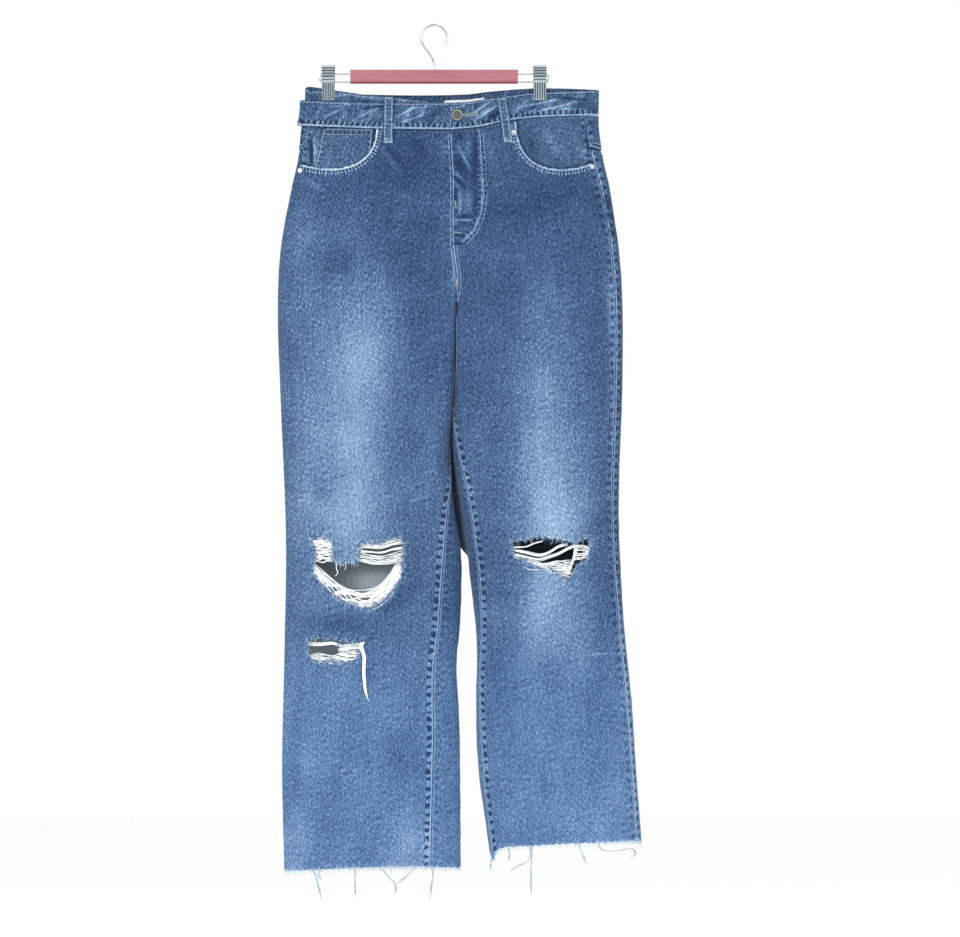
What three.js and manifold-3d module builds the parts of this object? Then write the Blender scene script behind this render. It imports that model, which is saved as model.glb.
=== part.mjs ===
// Ripped jeans hung by the waistband from a clip hanger.
// Millimetres, +Z up, front towards -Y, the wearer's left towards +X.
// The origin is the inner top of the hanger's hook, where it rests on a rail.
import * as THREE from "three";
import { mergeVertices } from "three/addons/utils/BufferGeometryUtils.js";
import Module from "manifold-3d";

const wasm = await Module();
wasm.setup();

// ---- Driving dimensions -------------------------------------------------------------------

const DENIM = 1.6; // one layer of washed denim
const BAND = 2.6; // the waistband, denim folded double
const FACING = 1.2; // pocket facing and coin pocket
const LABEL = 0.7;
const SEAM_GAP = 0.3; // between pieces that are sewn together
const PANEL_GAP = 0.4; // down the long side seams and inseams
const CLIP_X = 143; // each clip's middle, from the hook
const PINCH = 3; // from the clip's mid plane to the outer face of the cloth it grips
const WAIST_BOW = 12; // how far front and back bow apart between the clips
const END_BOW = 5; // and in the loose ends beyond the clips
const SEAT_FULLNESS = 13; // the seat's extra depth over the front
const CROTCH_Z = -386;
const FRONT_RISE_END = -336; // the front centre seam turns under between the legs here
const BACK_RISE_END = -318;
const ON_CLOTH = 0.7; // under hard pieces and loops, which lie across the cloth's facets
// Heights of the sections down a leg panel, closer round the crotch.
const ROWS = [-141, -164, -187, -210, -232, -264, -296, -322, -340, -356, -372, -386, -404,
  -434, -475, -520, -565, -610, -655, -705, -760, -825, -895, -970, -1050, -1137];
const RIGHT_BAND_SEAM = 6; // the waistband's side seams, along the cloth from its outermost line
const LEFT_BAND_SEAM = 9;

// Sections down the garment, each [height, size].
const OUTER = {
  right: [[-80, -174], [-120, -176], [-141, -180], [-180, -184], [-222, -193], [-303, -207],
    [-384, -211], [-506, -207], [-690, -200], [-850, -202], [-1000, -205], [-1142, -202]],
  left: [[-80, 223], [-141, 223], [-182, 229], [-222, 238], [-303, 250], [-384, 255],
    [-506, 254], [-668, 250], [-789, 256], [-911, 267], [-1103, 280], [-1130, 281]],
};
const INNER = {
  right: [[-80, 24], [-141, 21], [-200, 24], [-295, 24.5], [-345, 30.5], [-400, 30],
    [-480, 27], [-566, 21.5], [-641, 26], [-708, 36], [-809, 35], [-870, 31], [-971, 35],
    [-1142, 35]],
  left: [[-80, 24], [-141, 21], [-200, 24], [-295, 24.5], [-345, 30.5], [-400, 31],
    [-480, 29.5], [-566, 24.5], [-641, 34], [-701, 43], [-749, 49], [-830, 56], [-911, 56],
    [-1032, 63.5], [-1130, 75]],
};
const HALF_DEPTH = {
  right: [[-80, 8], [-150, 16], [-222, 24], [-303, 30], [-384, 33], [-480, 33], [-590, 30],
    [-708, 26], [-850, 23], [-1142, 21]],
  left: [[-80, 8], [-150, 16], [-222, 24], [-303, 30], [-384, 33], [-480, 33], [-590, 33],
    [-708, 35], [-850, 38], [-1000, 41], [-1130, 43]],
};
const OUTER_ROUND = [[-80, 9], [-120, 12], [-180, 34], [-260, 58], [-1142, 68]];
const INNER_ROUND = [[-300, 9], [-400, 10], [-520, 16], [-640, 36], [-760, 55], [-1142, 62]];
// Seams, along the cloth from the outermost or innermost line, + is onto the front.
const SIDE_SEAM = {
  right: [[-100, 12], [-185, 8], [-280, 3], [-400, 0], [-1142, -3]],
  left: [[-100, 21], [-1130, 20]],
};
const INSEAM = {
  right: [[-386, 0], [-593, 3], [-650, 20], [-707, 33], [-830, 38], [-985, 44], [-1142, 47]],
  left: [[-386, 0], [-492, 8], [-561, 26], [-640, 30], [-715, 28], [-784, 25], [-830, 21],
    [-900, 18], [-1130, 19]],
};

// Lines across the garment, each [x, height].
const BAND_TOP = {
  right: [[-182, -100], [-81, -103.4], [24, -104]],
  left: [[24, -104], [57, -102.7], [84, -98], [116, -92.6], [134, -90], [224, -87]],
  back: [[-176, -86], [-155, -82], [-134, -84.5], [-92, -92], [49, -92], [84, -88], [134, -84],
    [224, -87]],
  fold: [[-172, -88], [-134, -86.5], [-92, -93], [-60, -96.5], [-18, -102]],
};
const BAND_FOOT = {
  right: [[-182, -135.5], [-81, -139.4], [24, -140.7]],
  left: [[24, -140.7], [70, -137], [110, -127.5], [150, -123], [224, -121]],
  back: [[-176, -122], [-134, -121], [-92, -128], [49, -128], [84, -124], [134, -120], [224, -121]],
  fold: [[-172, -122.5], [-75, -125], [-45, -129.5], [-18, -140]],
};
// The seams under the waistband stand a little lower, for the turn of the doubled edge.
const FRONT_TOP = {
  right: [[-182, -124], [-75, -126.5], [-45, -131.5], [-18, -141.3], [24, -141.3]],
  left: [[24, -141.4], [70, -138.6], [110, -129.2], [150, -124], [224, -121.8]],
};
const YOKE_TOP = {
  right: [[-182, -124], [-134, -122], [-92, -128.8], [24, -128.8]],
  left: [[24, -128.8], [49, -128.8], [84, -124.8], [134, -120.8], [224, -122.2]],
};
const YOKE_FOOT = { right: [[-182, -166], [24, -204]], left: [[24, -204], [229, -164]] };
const FRONT_HEM = {
  right: [[-204, -1140], [-180, -1142], [-80, -1138], [0, -1135], [35, -1137]],
  left: [[75, -1127], [92, -1113], [150, -1107], [220, -1103], [280, -1101]],
};
const BACK_HEM = {
  right: [[-204, -1140], [35, -1137]],
  left: [[75, -1128], [92, -1114], [150, -1106], [280, -1102]],
};

// The largest soft folds: [from x, from z, to x, to z, width, height], + stands out.
const FOLDS = {
  front: [
    [-148, -300, -152, -660, 26, 4],
    [-60, -420, -92, -690, 24, -3],
    [-150, -880, -160, -1142, 24, 4],
    [-82, -900, -78, -1142, 22, -4],
    [-30, -860, -34, -1142, 20, 3],
    [150, -330, 140, -660, 26, 4],
    [84, -450, 96, -700, 22, -3],
    [150, -800, 150, -1110, 24, 4],
    [205, -760, 222, -1105, 22, -4],
  ],
  back: [
    [-120, -400, -130, -700, 26, -4],
    [-60, -450, -66, -900, 26, 4],
    [-140, -800, -140, -1140, 26, 4],
    [150, -400, 150, -700, 26, -4],
    [200, -500, 215, -1000, 26, 4],
    [130, -760, 140, -1120, 26, -4],
  ],
};

// Hanger.
const WIRE_RADIUS = 1.1;
const HOOK_RADIUS = 1.6;
const HOOK_EYE = 16; // inner radius of the hook
const BAR = { length: 226.8, depth: 12, height: 19, top: -58.9 };
const ARM_Z = [-65, -75.7]; // the two wires of each arm
const ARM_END = 155;
const CLIP = { width: 17.5, plate: 1.2, grip: 3.3, pin: 1.5, earHeight: 6.2 };

const group = new THREE.Group();

// ---- Helpers ------------------------------------------------------------------------------

const mix = (a, b, f) => a + (b - a) * f;

function ease(from, to, value) {
  const f = Math.min(1, Math.max(0, (value - from) / (to - from)));
  return f * f * (3 - 2 * f);
}

// Smooth reading of a list of [place, size] in either order of place.
function read(list, place) {
  const rising = list[0][0] < list[list.length - 1][0];
  const p = rising ? list : [...list].reverse();
  if (place <= p[0][0]) return p[0][1];
  const last = p.length - 1;
  if (place >= p[last][0]) return p[last][1];
  const i = p.findIndex((q) => q[0] > place) - 1;
  const slope = (j) => {
    const a = p[Math.max(0, j - 1)];
    const b = p[Math.min(last, j + 1)];
    return (b[1] - a[1]) / (b[0] - a[0]);
  };
  const w = p[i + 1][0] - p[i][0];
  const f = (place - p[i][0]) / w;
  const f2 = f * f;
  const f3 = f2 * f;
  return (
    (2 * f3 - 3 * f2 + 1) * p[i][1] + (f3 - 2 * f2 + f) * w * slope(i) +
    (3 * f2 - 2 * f3) * p[i + 1][1] + (f3 - f2) * w * slope(i + 1)
  );
}

const denim = (colour) => new THREE.MeshStandardMaterial({ color: colour, roughness: 0.9, metalness: 0 });
const steel = (colour) => new THREE.MeshStandardMaterial({ color: colour, roughness: 0.35, metalness: 1 });

function addMesh(name, geometry, material) {
  const mesh = new THREE.Mesh(geometry, material);
  mesh.name = name;
  group.add(mesh);
  return mesh;
}

function toSolid(geometry) {
  const bare = geometry.index ? geometry.toNonIndexed() : geometry.clone();
  bare.deleteAttribute("normal");
  bare.deleteAttribute("uv");
  const merged = mergeVertices(bare, 1e-3);
  return new wasm.Manifold(new wasm.Mesh({
    numProp: 3,
    vertProperties: merged.attributes.position.array,
    triVerts: new Uint32Array(merged.index.array),
  }));
}

function toGeometry(solid) {
  const mesh = solid.getMesh();
  const geometry = new THREE.BufferGeometry();
  geometry.setAttribute("position", new THREE.BufferAttribute(new Float32Array(mesh.vertProperties), 3));
  geometry.setIndex(new THREE.BufferAttribute(new Uint32Array(mesh.triVerts), 1));
  const faceted = geometry.toNonIndexed();
  faceted.computeVertexNormals();
  return faceted;
}

// ---- The garment's form -------------------------------------------------------------------

// Height of the folds at a place on the front or the back.
function foldHeight(face, x, z) {
  let sum = 0;
  for (const [x0, z0, x1, z1, width, height] of FOLDS[face]) {
    const f = Math.min(1, Math.max(0, (z - z0) / (z1 - z0)));
    const across = (x - mix(x0, x1, f)) / width;
    const reach = ease(z0 + 60, z0 - 40, z) * ease(z1 - 70, z1 + 30, z);
    const open = z1 < -1090 ? ease(z0 + 60, z0 - 40, z) : reach;
    sum += height * open * Math.exp(-across * across);
  }
  return sum;
}

// Half depth of the garment at a place: pinched under the clips, full from the hip down.
function halfDepth(side, face, x, z) {
  const past = Math.abs(x) - CLIP_X;
  const bow = past < 0
    ? WAIST_BOW * Math.cos((Math.PI * x) / (2 * CLIP_X)) ** 2
    : END_BOW * Math.sin((Math.PI * Math.min(past, 80)) / 160) ** 2;
  const full = read(HALF_DEPTH[side], z);
  const seat = face === "back" ? SEAT_FULLNESS * ease(-120, -250, z) * ease(-470, -300, z) : 0;
  return mix(PINCH + bow, full + seat, ease(-108, -215, z)) + foldHeight(face, x, z);
}

// How far round the inner corner the crotch seam lies: 1 on the face, 0 at the crotch point.
function riseLift(face, z) {
  const start = face === "front" ? FRONT_RISE_END : BACK_RISE_END;
  if (z >= start) return 1;
  if (z <= CROTCH_Z) return 0;
  return Math.sqrt(1 - ((start - z) / (start - CROTCH_Z)) ** 2);
}

// One face of a half section at a height, from the outermost line to the inner seam line.
function facePath(side, face, z) {
  const towards = side === "right" ? 1 : -1;
  const out = face === "front" ? -1 : 1;
  const outer = read(OUTER[side], z);
  const inner = read(INNER[side], z) - (towards * SEAM_GAP) / 2;
  const width = Math.abs(inner - outer);
  const roundOut = read(OUTER_ROUND, z);
  // The inner corner turns back towards the crotch seam, or right round to the inseam.
  const deep = halfDepth(side, face, inner, z);
  const edge = deep * riseLift(face, z);
  const cornerDeep = mix(read(INNER_ROUND, z), deep, ease(-450, -700, z));
  const turnDeep = Math.min(deep, cornerDeep, deep - edge);
  const turnWide = (read(INNER_ROUND, z) * turnDeep) / Math.min(deep, cornerDeep);
  const points = [];
  const put = (along, lift) => {
    const x = outer + towards * along;
    points.push([x, out * halfDepth(side, face, x, z) * lift]);
  };
  for (let i = 0; i <= 28; i++) {
    const a = (i / 28) * (Math.PI / 2);
    put(roundOut * (1 - Math.cos(a)), Math.sin(a));
  }
  for (let i = 1; i <= 18; i++) put(mix(roundOut, width - turnWide, i / 18), 1);
  if (edge >= deep) return points;
  for (let i = 1; i <= 9; i++) {
    const b = (i / 9) * (Math.PI / 2);
    const x = outer + towards * (width - turnWide * (1 - Math.sin(b)));
    points.push([x, out * (deep - turnDeep * (1 - Math.cos(b)))]);
  }
  const wall = deep - turnDeep - edge;
  if (wall > 0.5) {
    for (let i = 1; i <= 4; i++) points.push([inner, out * (deep - turnDeep - (wall * i) / 4)]);
  }
  return points;
}

function measured(points) {
  const at = [0];
  for (let i = 1; i < points.length; i++) {
    const [a, b] = [points[i - 1], points[i]];
    at.push(at[i - 1] + Math.hypot(b[0] - a[0], b[1] - a[1]));
  }
  return { points, at, length: at[at.length - 1] };
}

function alongPath(path, distance) {
  let i = 1;
  while (i < path.at.length - 1 && path.at[i] < distance) i++;
  const span = Math.max(1e-9, path.at[i] - path.at[i - 1]);
  const f = (distance - path.at[i - 1]) / span;
  const [a, b] = [path.points[i - 1], path.points[i]];
  return [mix(a[0], b[0], f), mix(a[1], b[1], f)];
}

// A point on the garment's outer face. Distance runs along the cloth from the outermost line,
// + over the front and - over the back, and past the innermost line onto the front again.
function skin(side, z, distance) {
  const front = measured(facePath(side, "front", z));
  if (distance >= 0) {
    const [x, y] = alongPath(front, distance);
    return new THREE.Vector3(x, y, z);
  }
  const back = measured(facePath(side, "back", z));
  const past = -distance - back.length;
  const [x, y] = past > 0 ? alongPath(front, front.length - past) : alongPath(back, -distance);
  return new THREE.Vector3(x, y, z);
}

const faceLength = (side, face, z) => measured(facePath(side, face, z)).length;
const inseamReach = (side, z) => (z > CROTCH_Z ? 0 : read(INSEAM[side], z));
// More columns where the cloth turns at its two edges.
const spread = (t) => mix(t, 0.5 - 0.5 * Math.cos(Math.PI * t), 0.45);
const acrossAt = (side, t, z) => mix(read(OUTER[side], z), read(INNER[side], z), t);

// The place of a column on a face, from the side seam at t = 0 to the inner seam at t = 1.
function acrossFace(side, face, z, seam, t, gap) {
  if (face === "front") {
    const end = faceLength(side, "front", z) - inseamReach(side, z) - gap / 2;
    return skin(side, z, mix(seam + gap / 2, end, spread(t)));
  }
  const end = -faceLength(side, "back", z) - inseamReach(side, z) + gap / 2;
  return skin(side, z, mix(seam - gap / 2, end, spread(t)));
}

// A stretch of waistband or yoke between two lines. v runs from the top line to the foot line.
function strip(side, face, top, foot, seamAt, reach = 1, gap = SEAM_GAP) {
  return (t, v) => {
    const zTop = read(top, acrossAt(side, t * reach, top[0][1]));
    const zFoot = read(foot, acrossAt(side, t * reach, foot[0][1]));
    const z = mix(zTop, zFoot, v);
    return acrossFace(side, face, z, seamAt(z), t * reach, gap);
  };
}

// A leg panel. v is a section's height, which is true between the two level sections and
// is drawn out to the panel's own top and hem lines above and below them.
function legPanel(side, face, top, hem, topRow, levelFrom, levelTo) {
  const last = ROWS[ROWS.length - 1];
  return (t, v) => {
    let z = v;
    if (v > levelFrom) {
      z = mix(levelFrom, read(top, acrossAt(side, t, -141)), (v - levelFrom) / (topRow - levelFrom));
    }
    if (v < levelTo) {
      z = mix(levelTo, read(hem, acrossAt(side, t, last)), (v - levelTo) / (last - levelTo));
    }
    return acrossFace(side, face, z, read(SIDE_SEAM[side], z), t, PANEL_GAP);
  };
}

// The outward normal of a surface at a place.
function normalAt(point, t, v, flip) {
  const dt = 0.004;
  const dv = Math.abs(v) > 2 ? 1 : 0.01;
  const along = point(Math.min(1, t + dt), v).sub(point(Math.max(0, t - dt), v));
  const down = point(t, v + dv).sub(point(t, v - dv));
  return along.cross(down).normalize().multiplyScalar(flip);
}

// Which way round a surface's normal comes out, tried at one place on it.
function flipOf(point, out, v = 0.5) {
  return Math.sign(normalAt(point, 0.5, v, 1).y) === out ? 1 : -1;
}

// The same surface moved along its outward normal by a distance that may vary across it.
function moved(point, out, distance, tryAt = 0.5) {
  const flip = flipOf(point, out, tryAt);
  return (t, v) => {
    const p = point(t, v);
    const d = typeof distance === "function" ? distance(p) : distance;
    return p.add(normalAt(point, t, v, flip).multiplyScalar(d));
  };
}

const even = (count) => Array.from({ length: count + 1 }, (_, i) => i / count);

// The lines of a grid between two places, with the two places themselves.
function linesBetween(lines, from, to, least) {
  const [low, high] = [Math.min(from, to), Math.max(from, to)];
  return [from, ...lines.filter((l) => l > low + least && l < high - least), to];
}

// A wall of cloth: the surface, a second face one thickness inside it, and a rim.
function clothGeometry(point, out, thickness, across, downwards) {
  const flip = flipOf(point, out, downwards[Math.floor(downwards.length / 2)]);
  const wind = flip * Math.sign(downwards[1] - downwards[0]);
  const columns = across.length - 1;
  const rows = downwards.length - 1;
  const outer = [];
  const inner = [];
  for (const v of downwards) {
    for (const t of across) {
      const p = point(t, v);
      outer.push(p);
      inner.push(p.clone().addScaledVector(normalAt(point, t, v, flip), -thickness));
    }
  }
  const positions = [...outer, ...inner].flatMap((p) => [p.x, p.y, p.z]);
  const count = outer.length;
  const index = [];
  const quad = (a, b, c, d) => {
    if (wind > 0) index.push(a, c, b, a, d, c);
    else index.push(a, b, c, a, c, d);
  };
  const at = (i, j) => j * (columns + 1) + i;
  for (let j = 0; j < rows; j++) {
    for (let i = 0; i < columns; i++) {
      quad(at(i, j), at(i, j + 1), at(i + 1, j + 1), at(i + 1, j));
      quad(count + at(i, j), count + at(i + 1, j), count + at(i + 1, j + 1), count + at(i, j + 1));
    }
  }
  for (let i = 0; i < columns; i++) {
    quad(at(i, 0), at(i + 1, 0), count + at(i + 1, 0), count + at(i, 0));
    quad(at(i + 1, rows), at(i, rows), count + at(i, rows), count + at(i + 1, rows));
  }
  for (let j = 0; j < rows; j++) {
    quad(at(0, j + 1), at(0, j), count + at(0, j), count + at(0, j + 1));
    quad(at(columns, j), at(columns, j + 1), count + at(columns, j + 1), count + at(columns, j));
  }
  const geometry = new THREE.BufferGeometry();
  geometry.setAttribute("position", new THREE.Float32BufferAttribute(positions, 3));
  geometry.setIndex(index);
  geometry.computeVertexNormals();
  return geometry;
}

// A prism through the front wall only, with its outline in x and z.
function frontCutter(outline) {
  const shape = new THREE.Shape();
  outline(shape);
  const prism = new THREE.ExtrudeGeometry(shape, { depth: 90, bevelEnabled: false, curveSegments: 8 });
  prism.rotateX(Math.PI / 2);
  return toSolid(prism);
}

// ---- Leg panels ---------------------------------------------------------------------------

const pocketMouth = {
  right: (s) => {
    s.moveTo(-200, -186);
    s.lineTo(-183, -186);
    s.bezierCurveTo(-125, -203, -82, -190, -78, -141);
    s.lineTo(-78, -110);
    s.lineTo(-200, -110);
  },
  left: (s) => {
    s.moveTo(111, -110);
    s.lineTo(111, -130);
    s.bezierCurveTo(112, -190, 160, -206, 216, -185);
    s.lineTo(240, -185);
    s.lineTo(240, -110);
  },
};

const rips = {
  right: [
    // The right knee: a sagging tear with a tongue of denim hanging into it.
    (s) => {
      s.moveTo(-165, -692);
      s.lineTo(-137, -694);
      s.lineTo(-136, -722);
      s.lineTo(-128, -727);
      s.lineTo(-104, -727);
      s.lineTo(-100, -698);
      s.lineTo(-42, -696);
      s.lineTo(-40, -722);
      s.bezierCurveTo(-46, -762, -70, -788, -88, -787);
      s.bezierCurveTo(-118, -784, -160, -752, -165, -722);
    },
    // The right shin: a short level tear.
    (s) => {
      s.moveTo(-170, -829);
      s.lineTo(-97, -832);
      s.quadraticCurveTo(-98, -852, -116, -860);
      s.lineTo(-160, -858);
      s.quadraticCurveTo(-172, -848, -170, -829);
    },
  ],
  left: [
    // The left knee: level along the top, coming to a point at the lower right.
    (s) => {
      s.moveTo(107, -694);
      s.lineTo(209, -700);
      s.quadraticCurveTo(204, -730, 182, -750);
      s.quadraticCurveTo(140, -742, 107, -712);
    },
  ],
};

const FRONT_COLUMNS = even(15);
const BACK_COLUMNS = even(12);
const BACK_TOP = -204;
const BACK_ROWS = [BACK_TOP, ...ROWS.filter((z) => z < BACK_TOP - 10)];
const frontPanel = {};
const backPanel = {};
for (const side of ["right", "left"]) {
  frontPanel[side] = legPanel(side, "front", FRONT_TOP[side], FRONT_HEM[side], ROWS[0], -232, -970);
  const yokeSeam = YOKE_FOOT[side].map(([x, z]) => [x, z - SEAM_GAP]);
  backPanel[side] = legPanel(side, "back", yokeSeam, BACK_HEM[side], BACK_TOP, -296, -970);
  let front = toSolid(clothGeometry(frontPanel[side], -1, DENIM, FRONT_COLUMNS, ROWS));
  for (const outline of [pocketMouth[side], ...rips[side]]) front = front.subtract(frontCutter(outline));
  addMesh("front_" + side, toGeometry(front), denim(0x5f83b4));
  const back = clothGeometry(backPanel[side], 1, DENIM, BACK_COLUMNS, BACK_ROWS);
  addMesh("back_" + side, back, denim(0x5679ab));
}

// ---- Seat: yokes and back pockets ---------------------------------------------------------

const POCKET = { from: 0.29, to: 0.79, narrow: 0.03, top: -226, shoulder: -352, drop: 22 };
for (const side of ["right", "left"]) {
  const yoke = strip(side, "back", YOKE_TOP[side], YOKE_FOOT[side], (z) => read(SIDE_SEAM[side], z));
  addMesh("yoke_" + side, clothGeometry(yoke, 1, DENIM, BACK_COLUMNS, even(3)), denim(0x4f72a4));
  // A patch pocket that narrows to a point, made from the back panel's own points.
  const patch = (t, v) => {
    const narrow = POCKET.narrow * ((POCKET.top - v) / (POCKET.top - POCKET.shoulder));
    const centre = (POCKET.from + POCKET.to) / 2;
    const off = Math.abs((t - centre) / (POCKET.to - centre));
    const point = v < POCKET.shoulder + 2 ? POCKET.drop * (1 - off) : 0;
    return backPanel[side](t + (centre - t) * narrow * 4, v - point);
  };
  const columns = linesBetween(BACK_COLUMNS, POCKET.from, POCKET.to, 0.02);
  const rows = linesBetween(BACK_ROWS, POCKET.top, POCKET.shoulder, 4);
  const lifted = moved(patch, 1, FACING + ON_CLOTH, POCKET.top);
  addMesh("back_pocket_" + side, clothGeometry(lifted, 1, FACING, columns, rows), denim(0x5679ab));
}

// ---- Front pockets ------------------------------------------------------------------------

// The denim that shows in each mouth, behind the front panel. The right one is set back
// by a coin pocket that lies on it.
const facingInset = { right: DENIM + FACING + 3 * SEAM_GAP, left: DENIM + SEAM_GAP };
const facingReach = { right: 0.6, left: 0.62 };
for (const side of ["right", "left"]) {
  const behind = moved(frontPanel[side], -1, -facingInset[side], ROWS[1]);
  const columns = linesBetween(FRONT_COLUMNS, 0.012, facingReach[side], 0.01);
  const rows = linesBetween(ROWS, -145, -228, 2);
  addMesh("pocket_facing_" + side, clothGeometry(behind, -1, FACING, columns, rows), denim(0x54759f));
}
const coinBehind = moved(frontPanel.right, -1, -(DENIM + 1.5 * SEAM_GAP), ROWS[1]);
const coinColumns = linesBetween(FRONT_COLUMNS, 0.16, 0.47, 0.02);
const coinRows = linesBetween(ROWS, -152, -214, 3);
addMesh("coin_pocket", clothGeometry(coinBehind, -1, FACING, coinColumns, coinRows), denim(0x54759f));

// ---- Waistband ----------------------------------------------------------------------------

// The right front stretch hangs slack in front of the clip, the further out the nearer the side.
const slack = (p) => 3.4 * ease(6, -16, p.x) + 3.6 * ease(-85, -130, p.x);
const bandRight = strip("right", "front", BAND_TOP.right, BAND_FOOT.right, () => -2);
const slackBand = moved(bandRight, -1, slack);
addMesh("waistband_front_right", clothGeometry(slackBand, -1, BAND, even(20), even(2)), denim(0x55759f));

const bandGap = 2 * SEAM_GAP;
const rightSeam = () => RIGHT_BAND_SEAM;
const leftSeam = () => LEFT_BAND_SEAM;
const fold = strip("right", "front", BAND_TOP.fold, BAND_FOOT.fold, rightSeam, 0.79, bandGap);
addMesh("waistband_fold", clothGeometry(fold, -1, BAND, even(16), even(2)), denim(0x4b6b96));

const bandLeft = strip("left", "front", BAND_TOP.left, BAND_FOOT.left, leftSeam, 1, bandGap);
addMesh("waistband_front_left", clothGeometry(bandLeft, -1, BAND, even(20), even(2)), denim(0x587796));

// The back of the waistband runs in one piece from side seam to side seam.
const backHalf = {
  right: strip("right", "back", BAND_TOP.back, BAND_FOOT.back, rightSeam, 1, bandGap),
  left: strip("left", "back", BAND_TOP.back, BAND_FOOT.back, leftSeam, 1, bandGap),
};
const bandBack = (t, v) => {
  if (t < 0.5) return backHalf.right(Math.min(t * 2, 0.999), v);
  return backHalf.left(Math.min(2 - t * 2, 0.999), v);
};
const backColumns = even(34);
addMesh("waistband_back", clothGeometry(bandBack, 1, BAND, backColumns, even(2)), denim(0x48658a));

// A bare tab on the inside of the back, in the middle.
const tabBehind = moved(bandBack, 1, -(BAND + SEAM_GAP));
const tabColumns = linesBetween(backColumns, 0.478, 0.61, 0.01);
addMesh(
  "label",
  clothGeometry(tabBehind, 1, LABEL, tabColumns, [0.2, 0.5, 0.86]),
  new THREE.MeshStandardMaterial({ color: 0xf2f4f4, roughness: 0.8, metalness: 0 }),
);

// ---- Belt loops ---------------------------------------------------------------------------

const LOOP_WIDTH = 12.5;
const LOOP_THICK = 1.8;

// Distance along the cloth at which a face reaches x at a height.
function reachOf(side, face, z, x) {
  const path = measured(facePath(side, face, z));
  const start = path.points[0][0];
  const i = path.points.findIndex((p) => Math.abs(p[0] - start) >= Math.abs(x - start));
  const [a, b] = [path.points[i - 1], path.points[i]];
  return path.at[i - 1] + (path.at[i] - path.at[i - 1]) * ((x - a[0]) / (b[0] - a[0]));
}

// A strip that leans from one x at the top to another at the foot. It stands off the cloth
// over the waistband and comes down onto the panel below it.
function beltLoop(name, side, face, xTop, xFoot, zTop, zFoot, standOff) {
  const out = face === "front" ? -1 : 1;
  const turn = face === "front" ? 1 : -1;
  const base = (t, v) => {
    const z = mix(zTop, zFoot, v);
    const x = mix(xTop, xFoot, v) + (t - 0.5) * LOOP_WIDTH;
    return skin(side, z, turn * reachOf(side, face, z, x));
  };
  const arch = (p) => {
    const v = (zTop - p.z) / (zTop - zFoot);
    const arched = 1.4 * Math.sin(Math.PI * Math.min(1, v * 1.15));
    return LOOP_THICK + ON_CLOTH + standOff * ease(1, 0.74, v) + arched;
  };
  addMesh(name, clothGeometry(moved(base, out, arch), out, LOOP_THICK, even(2), even(9)), denim(0x5d7ea8));
}

beltLoop("belt_loop_front_right", "right", "front", -60, -62, -96, -159, 3.6);
beltLoop("belt_loop_front_left", "left", "front", 91, 100, -97, -158, 0);
beltLoop("belt_loop_side_right", "right", "back", -110, -110, -90, -143, 0);
beltLoop("belt_loop_side_left", "left", "back", 170, 170, -85, -138, 0);
beltLoop("belt_loop_back", "right", "back", 8, 8, -93, -147, 0);

// ---- Button and rivets --------------------------------------------------------------------

function stud(name, point, x, v, profile, sides, colour) {
  const flip = flipOf(point, -1, v);
  const t = nearestT(point, v, x);
  const out = normalAt(point, t, v, flip);
  const geometry = new THREE.LatheGeometry(profile.map(([r, h]) => new THREE.Vector2(r, h)), sides);
  const mesh = addMesh(name, geometry, steel(colour));
  mesh.quaternion.setFromUnitVectors(new THREE.Vector3(0, 1, 0), out);
  mesh.position.copy(point(t, v).addScaledVector(out, ON_CLOTH));
}

// The column of a surface that lies nearest a wanted x.
function nearestT(point, v, x) {
  const steps = even(400);
  const miss = (t) => Math.abs(point(t, v).x - x);
  return steps.reduce((best, t) => (miss(t) < miss(best) ? t : best));
}

const buttonProfile = [[0, 0], [3.4, 0], [3.4, 1], [7.1, 1.2], [7.2, 2.4], [6.2, 3.2], [4.6, 2.5],
  [2.2, 3.1], [0, 3.4]];
stud("button", bandLeft, 31, 0.45, buttonProfile, 20, 0x8d8f86);
const rivetProfile = [[0, 0], [3.3, 0], [3.1, 0.9], [1.9, 1.7], [0, 2.1]];
stud("rivet_front_left", frontPanel.left, 107.4, -147, rivetProfile, 12, 0xb9c0c4);
stud("rivet_side_left", frontPanel.left, 212.5, -199, rivetProfile, 12, 0xb9c0c4);
stud("rivet_side_right", frontPanel.right, -180, -203, rivetProfile, 12, 0xb9c0c4);

// ---- Hanger -------------------------------------------------------------------------------

function wire(name, curve, radius, sides, steps, colour) {
  const section = new THREE.Shape();
  for (let i = 0; i < sides; i++) {
    const a = (i / sides) * 2 * Math.PI;
    if (i === 0) section.moveTo(radius * Math.cos(a), radius * Math.sin(a));
    else section.lineTo(radius * Math.cos(a), radius * Math.sin(a));
  }
  const geometry = new THREE.ExtrudeGeometry(section, { extrudePath: curve, steps, bevelEnabled: false });
  addMesh(name, geometry, steel(colour));
}

const bar = new THREE.Shape();
const chamfer = 1.2;
const barHalf = [BAR.depth / 2, BAR.height / 2];
bar.moveTo(-barHalf[0] + chamfer, -barHalf[1]);
bar.lineTo(barHalf[0] - chamfer, -barHalf[1]);
bar.lineTo(barHalf[0], -barHalf[1] + chamfer);
bar.lineTo(barHalf[0], barHalf[1] - chamfer);
bar.lineTo(barHalf[0] - chamfer, barHalf[1]);
bar.lineTo(-barHalf[0] + chamfer, barHalf[1]);
bar.lineTo(-barHalf[0], barHalf[1] - chamfer);
bar.lineTo(-barHalf[0], -barHalf[1] + chamfer);
const barGeometry = new THREE.ExtrudeGeometry(bar, { depth: BAR.length, bevelEnabled: false });
barGeometry.translate(0, 0, -BAR.length / 2);
barGeometry.rotateX(Math.PI / 2);
barGeometry.rotateZ(Math.PI / 2);
const barMesh = addMesh(
  "hanger_bar",
  barGeometry,
  new THREE.MeshStandardMaterial({ color: 0xbc8791, roughness: 0.45, metalness: 0 }),
);
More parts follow.
